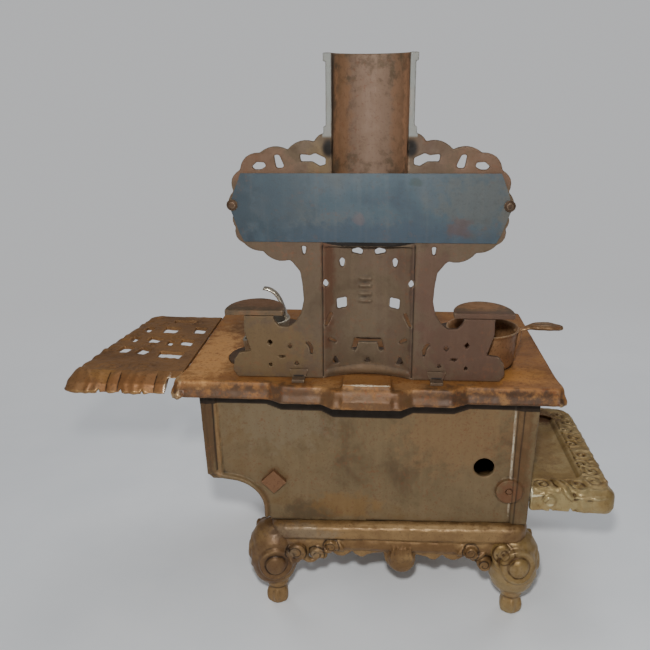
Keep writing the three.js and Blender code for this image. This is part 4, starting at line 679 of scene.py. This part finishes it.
def lamp(name, place, target, size, power, colour=(1, 1, 1), mirrored=True):
    data = bpy.data.lights.new(name, "AREA")
    data.shape = "DISK"
    data.size = size
    data.energy = power
    data.color = colour
    light = placed(name, data)
    light.location = place
    direction = Vector(target) - Vector(place)
    light.rotation_euler = direction.to_track_quat("-Z", "Y").to_euler()
    light.visible_glossy = mirrored


def studio():
    flash = Vector(ORIGIN) + Vector(FLASH) * MM
    middle = Vector(ORIGIN) + Vector(STOVE_MIDDLE) * MM
    lamp("key", flash, middle, size=0.03, power=1.75, colour=(1.0, 0.99, 0.96))
    lamp("side", (0.75, 0.9, 0.9), (0, 0, 0.15), size=0.5, power=1.1, colour=(1.0, 0.98, 0.95))
    lamp("front", (-0.35, -0.6, 1.3), (0, 0, 0.12), size=0.8, power=4.0)
    for side, x in (("left", -0.8), ("right", 0.8)):
        lamp(f"front_low_{side}", (x, -0.9, 0.32), (0, 0, 0.14), size=0.7, power=4.6, mirrored=False)
    world = bpy.data.worlds.new("studio")
    bpy.context.scene.world = world
    world.use_nodes = True
    tree = world.node_tree
    tree.nodes.clear()
    path = tree.nodes.new("ShaderNodeLightPath")
    seen = tree.nodes.new("ShaderNodeMath")
    seen.operation = "MAXIMUM"
    tree.links.new(path.outputs["Is Camera Ray"], seen.inputs[0])
    tree.links.new(path.outputs["Is Transmission Ray"], seen.inputs[1])
    lit = tree.nodes.new("ShaderNodeBackground")
    lit.inputs["Color"].default_value = (0.93, 0.96, 1.0, 1)
    lit.inputs["Strength"].default_value = 0.18
    shown = tree.nodes.new("ShaderNodeBackground")
    shown.inputs["Color"].default_value = BACKDROP
    shown.inputs["Strength"].default_value = 1.0
    mix = tree.nodes.new("ShaderNodeMixShader")
    tree.links.new(seen.outputs[0], mix.inputs[0])
    tree.links.new(lit.outputs[0], mix.inputs[1])
    tree.links.new(shown.outputs[0], mix.inputs[2])
    tree.links.new(mix.outputs[0], tree.nodes.new("ShaderNodeOutputWorld").inputs["Surface"])


# Floor: a pale cloth that passes into the backdrop's colour away from the stove
FLOOR_REACH = 4.0
CLOTH_ENDS, BACKDROP_STARTS = 0.12, 0.75


def floor():
    mesh = bpy.data.meshes.new("floor")
    corners = [(-1, -1), (1, -1), (1, 1), (-1, 1)]
    mesh.from_pydata([(x * FLOOR_REACH, y * FLOOR_REACH, 0) for x, y in corners], [], [(0, 1, 2, 3)])
    s = Shader("floor_cloth")
    colour = s.colours(s.noise(60.0, 3.0, 0.5), [(0.3, srgb(236, 240, 245)), (0.7, srgb(243, 246, 250))])
    body = s.add("ShaderNodeBsdfPrincipled")
    body.inputs["Roughness"].default_value = 0.85
    s.put(colour, body.inputs["Base Color"])
    pale = s.add("ShaderNodeEmission")
    pale.inputs["Color"].default_value = BACKDROP
    far = s.range(s.near((0, 0, 0), (1 / MM, 1 / MM, 1 / MM)), CLOTH_ENDS, BACKDROP_STARTS)
    seen = s.maths("MULTIPLY", far, s.add("ShaderNodeLightPath").outputs["Is Camera Ray"])
    blend = s.add("ShaderNodeMixShader")
    s.put(seen, blend.inputs[0])
    s.put(body.outputs["BSDF"], blend.inputs[1])
    s.put(pale.outputs["Emission"], blend.inputs[2])
    mesh.materials.append(s.finish(blend.outputs[0]))
    placed("floor", mesh)


look()
studio()
floor()


# The castings over the legs sit out of level: they sink by about SINK towards the reservoir end
SINK = 3.6
SINK_START, SINK_LENGTH = -60.0, 110.0
SINK_TOP = 62.5
PLATE_FOOT = (55.0, 60.0)


def settled(solid, lowest=45.0, highest=55.0):
    points, faces = solid
    points = np.array(points, float)
    share = np.clip((points[:, 0] - SINK_START) / SINK_LENGTH, 0, 1.05)
    points[:, 2] -= SINK * share * np.where(points[:, 2] < SINK_TOP, ramp(points[:, 2], lowest, highest), 0)
    return points, faces


# Base frame: the CAD frame with a second band, scrolls beside the legs and a boss in the middle
BASE_X0, BASE_X1, BASE_Y = -95.2, 57.2, 67.8
BAND_INSET, BAND_CORNER = 1.0, 6.0
BAND = [(-5.0, 49.4), (-1.6, 49.4), (-0.2, 47.8), (0.4, 45.4), (0.1, 42.8), (-1.2, 40.6), (-3.0, 40.0),
        (-5.0, 40.4)]
APRON_Y = 67.0
CURL_Z = 43.6
BOSS_X, BOSS_Z = -21.8, 36.0

# Each group of scrolls as its turn, the x and z of its ball, and the x of its curl and of its leaves
CURL_GROUPS = ((1, 29.2, 38.4, 20.4, 14.6), (-1, -70.6, 35.8, -62.2, -56.4))


def curls(side_y):
    def at(x, z, proud=0.0):
        return (x, side_y * (APRON_Y + proud), z)

    def strip(places, radii):
        return tube(smooth_path([at(*place) for place in places]), radii)

    solids = []
    for turn, ball_x, ball_z, curl_x, leaf_x in CURL_GROUPS:
        solids += [
            ball(at(ball_x, ball_z, -1.0), (4.5, 3.4, 4.5)),
            tube(spiral(at(ball_x, ball_z, 1.4), 0.5, 3.2, 1.2, 1.2 * turn, hand=turn), [1.1, 1.5, 1.2]),
            ball(at(curl_x, CURL_Z, -1.4), (4.2, 2.8, 4.2)),
            tube(spiral(at(curl_x, CURL_Z, 0.8), 0.5, 3.2, 1.25, 2.4 * turn, hand=-turn), [0.9, 1.3, 1.2]),
            strip([(curl_x, 39.8), (ball_x - turn * 4.0, 40.6, 0.8), (ball_x, 43.4)], [1.0, 1.6, 1.0])]
        for lean in (-1.4, 1.4):
            solids.append(strip([(leaf_x + turn * 1.6, 47.0), (leaf_x - turn * lean * 0.4, 43.4, 0.7),
                                 (leaf_x - turn * lean, 40.2, -0.4)], [0.7, 1.6, 0.7]))
    solids.append(ball(at(25.0, 36.9, -0.8), (2.4, 2.6, 2.4)))
    solids.append(ball(at(BOSS_X, BOSS_Z, -1.6), (8.4, 3.4, 9.4), 32))
    for i in range(-2, 3):
        solids.append(strip([(BOSS_X + i * 2.4, 44.0, 0.8), (BOSS_X + i * 2.9, 37.5, 1.2 - 0.3 * abs(i)),
                             (BOSS_X + i * 1.9, 29.6 + abs(i) * 0.9, -0.4)], [0.6, 1.3, 0.6]))
    return solids


# Painted shade in the scrolls: a dark ring round each ball and curl, and a dark spiral groove inside it
def curl_crease_shade(points, normals):
    x, y, z = points.T
    total = np.zeros(len(points))
    for turn, ball_x, ball_z, curl_x, _ in CURL_GROUPS:
        for eye_x, eye_z, hand in ((ball_x, ball_z, turn), (curl_x, CURL_Z, -turn)):
            radius = np.hypot(x - eye_x, z - eye_z)
            round_share = (np.arctan2(z - eye_z, x - eye_x) * hand / (2 * math.pi)) % 1
            crease = np.maximum(bell(radius - 4.9, 0.55), bell(radius - 1.4 - 1.9 * round_share, 0.4))
            total = np.maximum(total, 0.8 * crease * ramp(np.abs(y), 63.0, 65.0))
    return total


def base_frame():
    band = rounded(BASE_X0 + BAND_INSET, BASE_X1 - BAND_INSET, -BASE_Y + BAND_INSET, BASE_Y - BAND_INSET,
                   BAND_CORNER)

    def relief(points, normals):
        return 0.2 * noise(points, 5.0, 3) + 0.12 * noise(points, 2.2, 4)

    solids = [settled(node_solid("base_frame")), settled(moulding(band, BAND)), *curls(1), *curls(-1)]
    cast("base_frame", solids, voxel=0.65, smooth=3, relief=relief, painted_shade=curl_crease_shade)


base_frame()


# Legs: an egg-shaped scroll knee with a ringed dome on both outer faces, over a small paw with three
# toes. LEGS has the x of each leg and its outward sides in x and y, and tables by 1 and -1 go by the x one
LEG_Y = 58.0
LEGS = {"leg_rear_reservoir_end": (56.3, 1, 1), "leg_rear_firebox_end": (-88.7, -1, 1),
        "leg_front_reservoir_end": (56.3, 1, -1), "leg_front_firebox_end": (-88.7, -1, -1)}
KNEE = [(0, 13.7), (6.6, 13.9), (9.6, 15.6), (12.2, 19.0), (14.2, 25.0), (15.0, 32.0), (14.8, 39.0),
        (13.2, 45.6), (10.0, 50.6), (5.4, 53.6), (0, 54.3)]
PAW = [(0, 0.3), (4.6, 0.3), (5.8, 1.2), (6.3, 3.6), (6.3, 7.4), (5.6, 10.8), (5.6, 11.8), (6.6, 13.4),
       (7.0, 16.0), (7.0, 18.0), (0, 18.0)]
PAW_X = {1: -2.2, -1: 0.2}
PAW_OUT = 3.0
TOE_TURNS = (-58, 0, 58)
DOMES = {1: (-2.9, 31.8), -1: (-1.3, 36.9)}
DOME_RADIUS, DOME_HEIGHT = 5.9, 2.1
VOLUTES = {1: (41.4, 39.4), -1: (-81.2, 44.4)}
ARMS = {1: [(-0.6, 4.3), (3.2, 3.2), (4.7, -0.6), (6.2, -4.2), (9.0, -6.0), (12.4, -4.6)],
        -1: [(-0.6, 4.5), (3.2, 3.6), (4.8, -0.4), (4.4, -5.2), (1.6, -10.0), (-3.4, -14.0)]}
SQUASH = 0.96

# Rings round a dome, each as its height, its radius and its width
RINGS = ((-0.55, 6.7, 1.0), (0.85, 9.2, 1.3), (-0.4, 11.4, 1.1))


def leg(name):
    x, out_x, out_y = LEGS[name]
    dome_x, dome_z = x + DOMES[out_x][0], DOMES[out_x][1]
    volute_x, volute_z = VOLUTES[out_x]
    paw = np.array([x + PAW_X[out_x], out_y * (LEG_Y + PAW_OUT), 0])
    solids = [lathe(KNEE, (x, LEG_Y * out_y, 0), segments=56), lathe(PAW, paw)]
    for turn in TOE_TURNS:
        angle = math.radians(90 + turn)
        toe = paw + np.array([5.0 * math.cos(angle), out_y * 4.6 * math.sin(angle), 5.9])
        solids.append(ball(toe, (2.4, 3.0, 5.4)))

    def at(u, z, proud=0.0):
        return (volute_x - out_x * u, out_y * (LEG_Y + 10.6 + proud), volute_z + z)

    def start_angle(out):
        return 0.5 if out > 0 else math.pi - 0.5

    side_x, side_y, side_z = x + out_x * 9.6, out_y * (LEG_Y - 8.4), 44.0
    solids += [
        ball(at(0.6, -0.6, -3.4), (7.4, 4.4, 7.0)),
        ball(at(-3.0, -3.0, -4.0), (7.0, 4.6, 8.0)),
        tube(spiral(at(0, 0), 0.6, 4.2, 1.4, start_angle(out_x), hand=out_x), [1.5, 1.4, 1.6]),
        tube(smooth_path([at(u, z, -0.4 - 0.12 * abs(u)) for u, z in ARMS[out_x]]), [1.4, 1.9, 1.9, 1.1]),
        ball((side_x - out_x * 2.4, side_y, side_z), (4.0, 6.0, 6.0)),
        tube(spiral((side_x + out_x * 1.0, side_y, side_z), 0.6, 3.9, 1.4, start_angle(out_y), plane="x",
                    hand=out_y), [1.3, 1.3, 1.5])]

    def relief(points, normals):
        px, py, pz = points.T
        total = 0.14 * noise(points, 3.6, 31) + 0.06 * noise(points, 1.6, 32)
        rear = np.hypot(px - dome_x, (pz - dome_z) * SQUASH)
        end_face = np.hypot(py - out_y * LEG_Y, (pz - 34.0) * SQUASH)
        domes = ((rear, normals[:, 1] * out_y, 1.0), (end_face, normals[:, 0] * out_x, 0.45))
        for radius, facing, tall in domes:
            form = DOME_HEIGHT * np.sqrt(np.clip(1 - (radius / DOME_RADIUS) ** 2, 0, 1))
            for height, middle, width in RINGS:
                form = form + height * bell(radius - middle, width)
            total += tall * ramp(facing, 0.05, 0.45) * form
        return total * ramp(pz, 12.0, 17.0)

    # Painted shade: a dark ring and a spiral groove in the volute, a dark ring round the knee's dome and a
    # dark line at the ankle
    def painted_shade(points, normals):
        px, _, pz = points.T
        radius = np.hypot(px - volute_x, pz - volute_z)
        turn = (np.arctan2(pz - volute_z, px - volute_x) * -out_x / (2 * math.pi)) % 1
        ring = bell(radius - 6.2, 0.6)
        groove = bell(radius - 1.6 - 2.6 * turn, 0.5)
        knee = 0.6 * bell(np.hypot(px - dome_x, pz - dome_z) - 6.6, 0.6)
        ankle = 0.6 * bell(pz - 12.2, 0.8)
        face = ramp(normals[:, 1] * out_y, 0.2, 0.5)
        return face * np.maximum(np.maximum(0.8 * ring, 0.7 * groove) * ramp(pz, 34, 37), knee) + ankle

    cast(name, solids, voxel=0.55, smooth=4, relief=relief, painted_shade=painted_shade)


for leg_name in LEGS:
    leg(leg_name)


# Flue back: pierced casting with four plain bars and a roll along the foot of its hollow panel
PANEL_AXIS_Y, PANEL_RADIUS = 98.9, 42.8
BAR_X = (-1.2, 1.6, 4.4)
BAR_HEIGHTS = (56.3, 52.3, 47.7, 43.7)
ROLL_X, ROLL_HEIGHT = 22.5, 3.4
COLUMN_X, COLUMN_HEIGHT = 24.4, 78
CRESCENT_X, CRESCENT_DEPTH = 24.6, 3.2
CUT_EDGE_X, CUT_EDGE_FOOT = 20.6, 281.0


def panel_y(x):
    return PANEL_AXIS_Y - math.sqrt(PANEL_RADIUS ** 2 - x * x)


def flue_back():
    solids = [node_solid("flue_back")]
    for height in BAR_HEIGHTS:
        solids.append(tube([(x, panel_y(x) + 0.1, TOP + height) for x in BAR_X], 0.95, flat=(1.0, 0.9)))
    roll = [(x, panel_y(x) - 0.3, TOP + ROLL_HEIGHT) for x in np.linspace(-ROLL_X, ROLL_X, 15)]
    solids.append(tube(roll, [1.2, 1.7, 1.7, 1.2], flat=(1.5, 1.0)))

    def relief(points, normals):
        x, _, z = points.T
        rear = ramp(normals[:, 1], 0.5, 0.8)
        waves = 0.18 * noise(points, 14.0, 5) + 0.1 * noise(points, 6.0, 6)
        below = ramp(z, TOP + COLUMN_HEIGHT, TOP + COLUMN_HEIGHT - 4)
        return waves * rear - 0.9 * rear * bell(np.abs(x) - COLUMN_X, 0.5) * below

    # Painted shadow of the blued sheet's lower edge, a crescent across the hollow panel, and painted shade
    # at the foot of each bare cut edge of the chimney
    def painted_shade(points, normals):
        x, y, z = points.T
        low = SHEET_LOW - 0.2 - CRESCENT_DEPTH * np.clip(1 - (x / CRESCENT_X) ** 2, 0, 1)
        shadow = ramp(z, low - 0.3, low + 0.3) * ramp(z, SHEET_LOW + 8, SHEET_LOW + 4)
        corner = ramp(np.hypot(np.abs(x) - CUT_EDGE_X, (z - CUT_EDGE_FOOT + 5.0) * 0.8), 6.0, 1.5) * 0.8
        return np.maximum(shadow * (np.abs(x) < CRESCENT_X), corner * (y > 60))

    def bare(points, normals):
        x, y, z = points.T
        rear = ramp(normals[:, 1], 0.35, 0.6) * ramp(y, 62.0, 62.8)
        above = ramp(z, CUT_EDGE_FOOT, CUT_EDGE_FOOT + 1.4)
        return rear * above * (np.abs(np.abs(x) - CUT_EDGE_X) < 3.2)

    cast("flue_back", solids, voxel=0.52, smooth=2, relief=relief, painted_shade=painted_shade, bare=bare)


flue_back()


# Low scrolls cut into a top face, each as its x, y, size, turn and hand
def scroll_wave(points, scroll, pitch_share, reach_share, wobble=0.0):
    x, y, size, turn, hand = scroll
    radius = np.hypot(points[:, 0] - x, points[:, 1] - y)
    angle = np.arctan2(points[:, 1] - y, points[:, 0] - x) * hand
    wave = np.cos(radius * 2 * math.pi / (size * pitch_share) - angle + turn + wobble)
    return wave * np.exp(-(radius / (reach_share * size)) ** 4)


SHELF_LEAVES = [(152, 48, 6.5, 0.4, 1), (133, 50, 6.0, 2.6, -1), (162, 20, 6.0, 1.2, 1),
                (156, -10, 6.0, 4.0, -1), (121, 30, 5.0, 2.0, 1), (140, 10, 5.0, 0.6, -1),
                (126, -8, 5.0, 3.0, 1), (144, -34, 5.0, 1.0, -1), (122, -38, 4.6, 5.0, 1)]
HEARTH_SCROLLS = [(-103.6, 51.6, 4.4, 0.3, 1), (-124.0, 51.4, 6.4, 2.4, -1), (-134.4, 47.0, 6.4, 0.9, 1),
                  (-136.4, 35.0, 5.0, 1.6, -1), (-132.4, 26.0, 4.6, 3.6, 1), (-136.0, 14.0, 6.4, 0.2, -1),
                  (-132.8, -1.0, 4.8, 2.2, 1), (-136.8, -10.0, 5.4, 4.4, -1), (-133.4, -22.0, 5.6, 1.0, 1),
                  (-136.6, -33.5, 5.0, 5.2, 1), (-133.6, -44.0, 5.8, 3.0, -1), (-118.0, -52.0, 6.0, 0.6, 1),
                  (-104.0, -52.0, 4.8, 2.8, -1)]

# Side shelf: pierced plate whose edges hang over in leaf folds. The lobes of its rear fold are given as
# their two ends and height, and the ridges on them as their middle, width, height and lean
SHELF_EDGE = [(152.6, -49.0), (156.0, -45.0), (160.4, -28.3), (163.8, -4.5), (167.0, 18.4), (170.4, 39.1),
              (172.6, 60.0)]
SHELF_REAR_X = [113, 150, 176]
SHELF_REAR_Y = [64.8, 64.6, 61.5]
LOBES = [(112.6, 121.7, 0.8), (121.7, 143.3, 1.5), (143.3, 149.7, 1.0), (149.7, 176.0, 1.5)]
RIDGES = [(127.4, 2.2, 0.5, 0.1), (133.0, 1.7, 0.6, -0.2), (138.2, 1.5, 0.5, -0.4),
          (147.0, 2.0, 0.4, -0.7), (156.4, 2.4, 0.5, 0.5), (162.4, 1.8, 0.6, 0.9), (168.6, 2.4, 0.5, 0.3)]
FOLD_PITCH = 10.5


def side_shelf():
    edge = smooth_path(SHELF_EDGE, 8)

    def relief(points, normals):
        x, y, z = points.T
        rear = np.interp(x, SHELF_REAR_X, SHELF_REAR_Y)
        near = ramp(y, rear - 13.0, rear - 6.0)
        seen = np.maximum(ramp(normals[:, 2], 0.2, 0.6), ramp(normals[:, 1], 0.1, 0.5))
        drop = rear - y + (SHELF_TOP - z) + 1.6 * noise(points, 7.0, 18)
        total = 0.16 * noise(points, 4.0, 8) + 0.1 * noise(points, 2.0, 9)
        for low, high, tall in LOBES:
            part = np.clip((x - low) / (high - low), 0, 1)
            inside = (x >= low) & (x < high)
            total += near * seen * tall * (np.sin(math.pi * part) ** 0.7 - 0.4) * inside
        for middle, width, tall, lean in RIDGES:
            total += near * seen * tall * bell(x - middle - lean * (drop - 8.0), width)
        for leaf in SHELF_LEAVES:
            total += 0.24 * ramp(normals[:, 2], 0.5, 0.85) * scroll_wave(points, leaf, 0.8, 1.5)
        border = ramp(x - np.interp(y, edge[:, 1], edge[:, 0]), -7.0, -3.0)
        folds = np.cos(y * 2 * math.pi / FOLD_PITCH + 2.2 * noise(points, 16.0, 10))
        return total + border * (1 - near) * (0.45 * folds + 0.3 * noise(points, 3.4, 13))

    cast("side_shelf", [node_solid("side_shelf")], voxel=0.5, smooth=4, relief=relief)


side_shelf()


# Hearth shelf: plain tray with a thick border of scrolls and leaves, whose corner is filled out and
# whose strips are given as their points and radii
HEARTH_RIM = HEARTH_TOP + 1.9
HEARTH_STRIPS = [
    ([(-96.8, 58.4, 77.2), (-100.4, 58.6, 77.8), (-104.6, 58.6, 79.0)], [0.7, 0.8, 0.6]),
    ([(-96.7, 58.3, 77.2), (-96.6, 57.8, 80.2), (-96.6, 57.0, 82.0)], [0.6, 0.6, 0.5]),
    ([(-110.6, 47.0, HEARTH_RIM - 0.2), (-112.4, 52.0, HEARTH_RIM + 0.6), (-115.4, 56.6, HEARTH_RIM - 0.6),
      (-119.8, 59.6, HEARTH_RIM - 5.4)], [1.0, 2.0, 2.4, 1.4]),
    ([(-114.6, 48.0, HEARTH_RIM - 0.2), (-117.6, 53.4, HEARTH_RIM + 0.4), (-121.4, 57.4, HEARTH_RIM - 1.8)],
     [0.8, 1.6, 1.2]),
    ([(-121.0, 61.0, 78.4), (-129.0, 61.9, 78.8), (-138.8, 61.4, 79.0)], [0.7, 1.1, 0.8])]
HEARTH_CORNER = (-145.0, -118.6, 42.0, 62.4, 7.0)
CORNER_PROFILE = [(-4.0, 67.8), (-1.8, 68.4), (-0.4, 71.0), (0.0, 74.6), (-0.5, 77.8), (-1.8, 80.2),
                  (-4.4, 82.0)]
INNER_RIDGE = [(-129.2, -40.0, 79.2), (-129.2, 0.0, 79.2), (-129.2, 43.0, 79.2)]


def hearth_shelf():
    solids = [
        node_solid("hearth_shelf"),
        tube(spiral((-107.4, 59.0, 74.4), 0.5, 3.4, 1.3, 2.0, hand=-1), [0.9, 1.2, 1.3]),
        ball((-107.0, 57.4, 73.0), (4.6, 2.4, 4.6)),
        *(tube(smooth_path(strip), radii) for strip, radii in HEARTH_STRIPS),
        rings_solid(offset_rings(rounded(*HEARTH_CORNER), CORNER_PROFILE)),
        tube(INNER_RIDGE, 2.4)]

    def relief(points, normals):
        x, y, _ = points.T
        border = np.clip(ramp(x, -129.0, -130.5) + ramp(np.abs(y), 45.4, 46.8), 0, 1)
        top = ramp(normals[:, 2], 0.3, 0.7)
        total = 0.3 * noise(points, 4.4, 15) + 0.2 * noise(points, 2.4, 16)
        wobble = 1.2 * noise(points, 5.0, 19)
        for scroll in HEARTH_SCROLLS:
            total += 0.5 * top * scroll_wave(points, scroll, 0.86, 1.3, wobble)
        sides = (1 - top) * ramp(np.abs(normals[:, 2]), 0.7, 0.4)
        folds = np.cos((x - y) * 2 * math.pi / 11.0 + 2.0 * noise(points, 12.0, 17))
        return border * (total + sides * 0.4 * folds)

    cast("hearth_shelf", solids, voxel=0.5, smooth=3, relief=relief)


hearth_shelf()


# Saucepan with a rolled rim, a strap under the handle and a hollow paddle handle, whose paths are given
# from the middle of the rim
PAN_X, PAN_Y = -66.0, 32.0
PAN_FOOT = TOP + 0.3
PAN_RIM = PAN_FOOT + 22.0
PAN_WALL = [(0, PAN_FOOT), (16.6, PAN_FOOT), (18.0, PAN_FOOT + 0.6), (18.6, PAN_FOOT + 2.2),
            (20.1, PAN_RIM - 2.0), (20.9, PAN_RIM - 0.9), (20.9, PAN_RIM - 0.3), (20.4, PAN_RIM),
            (19.6, PAN_RIM - 0.5), (18.9, PAN_RIM - 2.0), (17.2, PAN_FOOT + 3.2), (16.2, PAN_FOOT + 1.7),
            (0, PAN_FOOT + 1.5)]
PAN_GRIP = [(-19.4, 0, -2.2), (-23.0, 0, -1.4), (-26.6, 0, -0.2), (-31.0, 0, 0.5), (-38.0, 0, 0.5),
            (-43.6, 0, -0.1)]
PAN_STRAP = [(-20.3, 4.6, -1.4), (-20.0, 4.4, -6.0), (-18.8, 4.2, -11.0), (-18.4, 3.8, -15.0),
             (-18.8, 3.4, -18.0)]


def saucepan():
    rim_middle = np.array([PAN_X, PAN_Y, PAN_RIM])
    solids = [
        lathe(PAN_WALL, (PAN_X, PAN_Y, 0), segments=72),
        tube(smooth_path(rim_middle + PAN_GRIP), [2.2, 2.3, 2.8, 4.6, 5.0, 3.6], sides=20, up=(0, 1, 0),
             flat=(1.0, 0.46)),
        tube(smooth_path(rim_middle + PAN_STRAP), [1.7, 1.8, 1.6, 1.2, 0.7])]

    def relief(points, normals):
        out = PAN_X - points[:, 0]
        hollow = ramp(out, 28, 32) * ramp(out, 45, 41) * bell(points[:, 1] - PAN_Y, 2.2)
        return -1.0 * hollow * ramp(normals[:, 2], 0.3, 0.7)

    cast("saucepan", solids, voxel=0.42, smooth=2, relief=relief, material=PAN_PAINT)


saucepan()


# Coal scuttle: the upper part of its handle bends over and comes down a little
HANDLE_FOOT, HANDLE_RISE = 25.0, 23.0


def coal_scuttle():
    points, faces = node_solid("coal_scuttle")
    rise = np.clip((points[:, 2] - TOP - HANDLE_FOOT) / HANDLE_RISE, 0, 1)
    points[:, 0] += 1.3 * np.sin(math.pi * rise)
    points[:, 2] -= 2.0 * rise * rise
    cast("coal_scuttle", [(points, faces)], voxel=0.4, smooth=3)


coal_scuttle()


# Rear plate: a rolled border down the corner strips and along the overhang, with painted shade in the
# creases beside it and along the foot, and a painted shadow of the skirt under the overhang. A crease is
# given as its x at CREASE_TOP and at CREASE_LOW, its width and its depth
SKIRT_X = (18.1, 25.1, 46.9, 54.9)
SKIRT_Y = (85.0, 79.0, 79.0, 73.8)
SKIRT_LOW = TOP - 9.5
SHADOW_SLOPE = 0.64
SKIRT_SPREAD = 1.05
STRIP_TOP, STRIP_LOW = 146.4, 61.5
SWEEP_X, SWEEP_Z, SWEEP_RADII = 82, 63.0, (22.6, 21.0)
CREASE_TOP, CREASE_LOW = 146.0, 88.0
CREASES = ((88.9, 87.9, 0.7, 0.8), (-88.3, -86.8, 0.6, 0.7), (-84.8, -84.3, 0.5, 0.6))


def back_plate():
    face = REAR + 0.1
    border = [(92.6, face, STRIP_TOP), (91.4, face, 110.0), (90.6, face, 92.0), (89.0, face, 88.2),
              (85.4, face, 86.4)]
    for angle in np.linspace(math.pi / 2, 0, 12)[1:]:
        border.append((SWEEP_X - SWEEP_RADII[0] * math.cos(angle), face,
                       SWEEP_Z + SWEEP_RADII[1] * math.sin(angle) + 1.6))
    border.append((59.4, face, 60.0))
    solids = [
        settled(node_solid("back_plate"), *PLATE_FOOT),
        tube(smooth_path(border, 3), [2.4, 2.4, 2.2, 1.9, 1.9], flat=(1.0, 0.72), up=(0, 1, 0)),
        tube([(-91.6, face, STRIP_TOP), (-90.2, face, 110.0), (-88.9, face, STRIP_LOW)], 2.3,
             flat=(0.72, 1.0), up=(0, 1, 0)),
        tube([(-86.4, face, STRIP_TOP), (-85.6, face, STRIP_LOW)], 1.2, up=(0, 1, 0)),
        tube([(-83.2, face - 0.2, STRIP_TOP), (-83.0, face - 0.2, STRIP_LOW)], 0.75, up=(0, 1, 0))]

    def relief(points, normals):
        rear = ramp(normals[:, 1], 0.5, 0.8)
        return rear * (0.14 * noise(points, 18.0, 21) + 0.07 * noise(points, 7.0, 22))

    # Painted shade: dark lines in the creases beside the borders and along the foot, and the skirt's
    # painted shadow where the lamp at FLASH would shade the plate
    def painted_shade(points, normals):
        x, _, z = points.T
        lines = np.zeros(len(points))
        for top_x, low_x, width, depth in CREASES:
            line = low_x + (top_x - low_x) * (z - CREASE_LOW) / (CREASE_TOP - CREASE_LOW)
            lines = np.maximum(lines, depth * bell(x - line, width) * ((z > 90) | (x < 0)))
        foot = 0.7 * ramp(z, 60.0 + 1.8 * (x < 0), 57.0 + 1.8 * (x < 0))
        overhang = np.interp(np.abs(x) / SKIRT_SPREAD, SKIRT_X, SKIRT_Y) - REAR
        under = SKIRT_LOW - SHADOW_SLOPE * overhang
        skirt_shadow = 0.9 * ramp(z, under - 0.5, under + 0.4)
        return np.maximum(np.maximum(lines, foot), skirt_shadow) * ramp(normals[:, 1], 0.2, 0.5)

    cast("back_plate", solids, voxel=0.7, smooth=2, relief=relief, painted_shade=painted_shade)


back_plate()


# Top plate: the corners of its skirt flare out at the rear
FLARES = (3.4, 1.5)


def top_plate():
    def relief(points, normals):
        x, y, z = points.T
        corner = ramp(np.abs(normals[:, 0]), 0.3, 0.7) * ramp(np.abs(x), 97, 102) * ramp(y, 50, 72)
        flare = np.where(x > 0, *FLARES) * corner * ramp(z, TOP + 6, TOP - 4)
        rear = ramp(normals[:, 1], 0.4, 0.8) * ramp(y, 70, 74)
        return 0.1 * noise(points, 9.0, 41) + rear * 0.16 * noise(points, 4.0, 42) + flare

    cast("top_plate", [node_solid("top_plate")], voxel=0.85, smooth=2, relief=relief)


top_plate()

# Castings that keep the shape of their solids, with softened edges and a sanded grain, and their voxels
WALL_PLATES = ("front_plate", "end_plate_firebox", "end_plate_reservoir")
SOFT = {
    "front_plate": 1.0, "end_plate_firebox": 1.0, "end_plate_reservoir": 1.0,
    "oven_door": 0.8, "firebox_door": 0.7, "ash_door": 0.7, "end_door": 0.5,
    "oven_door_knob": 0.35, "firebox_door_knob": 0.35, "ash_door_knob": 0.35, "end_door_knob": 0.35,
    "tie_rod_square_nut": 0.3, "tie_rod_reservoir_side": 0.4, "tie_rod_firebox_side": 0.4,
    "sheet_rivet_reservoir_end": 0.3, "sheet_rivet_firebox_end": 0.3,
    "tea_shelf_reservoir_end": 0.6, "tea_shelf_firebox_end": 0.6,
    "flue_clip_reservoir_end": 0.35, "flue_clip_firebox_end": 0.35,
    "warming_closet": 0.85, "closet_door_reservoir_end": 0.7, "closet_door_firebox_end": 0.7,
}
for row in ("front", "rear"):
    for column in ("firebox_end", "middle", "reservoir_end"):
        SOFT[f"lid_{row}_{column}"] = 0.75
for node_name, size in SOFT.items():
    solid = node_solid(node_name)
    if node_name in WALL_PLATES:
        solid = settled(solid, *PLATE_FOOT)
    cast(node_name, [solid], voxel=size, smooth=2, material=NUT_PAINT if "tie_rod" in node_name else None)

# Pieces shown as the CAD has them: pins, liner, rack, basket and sheet
for node_name, node in frame["nodes"].items():
    if not node.hide_render:
        paint_of = PAINTS[SLOTS[node_name]]
        if not node.material_slots:
            node.data.materials.append(paint_of)
        for slot in node.material_slots:
            slot.material = paint_of
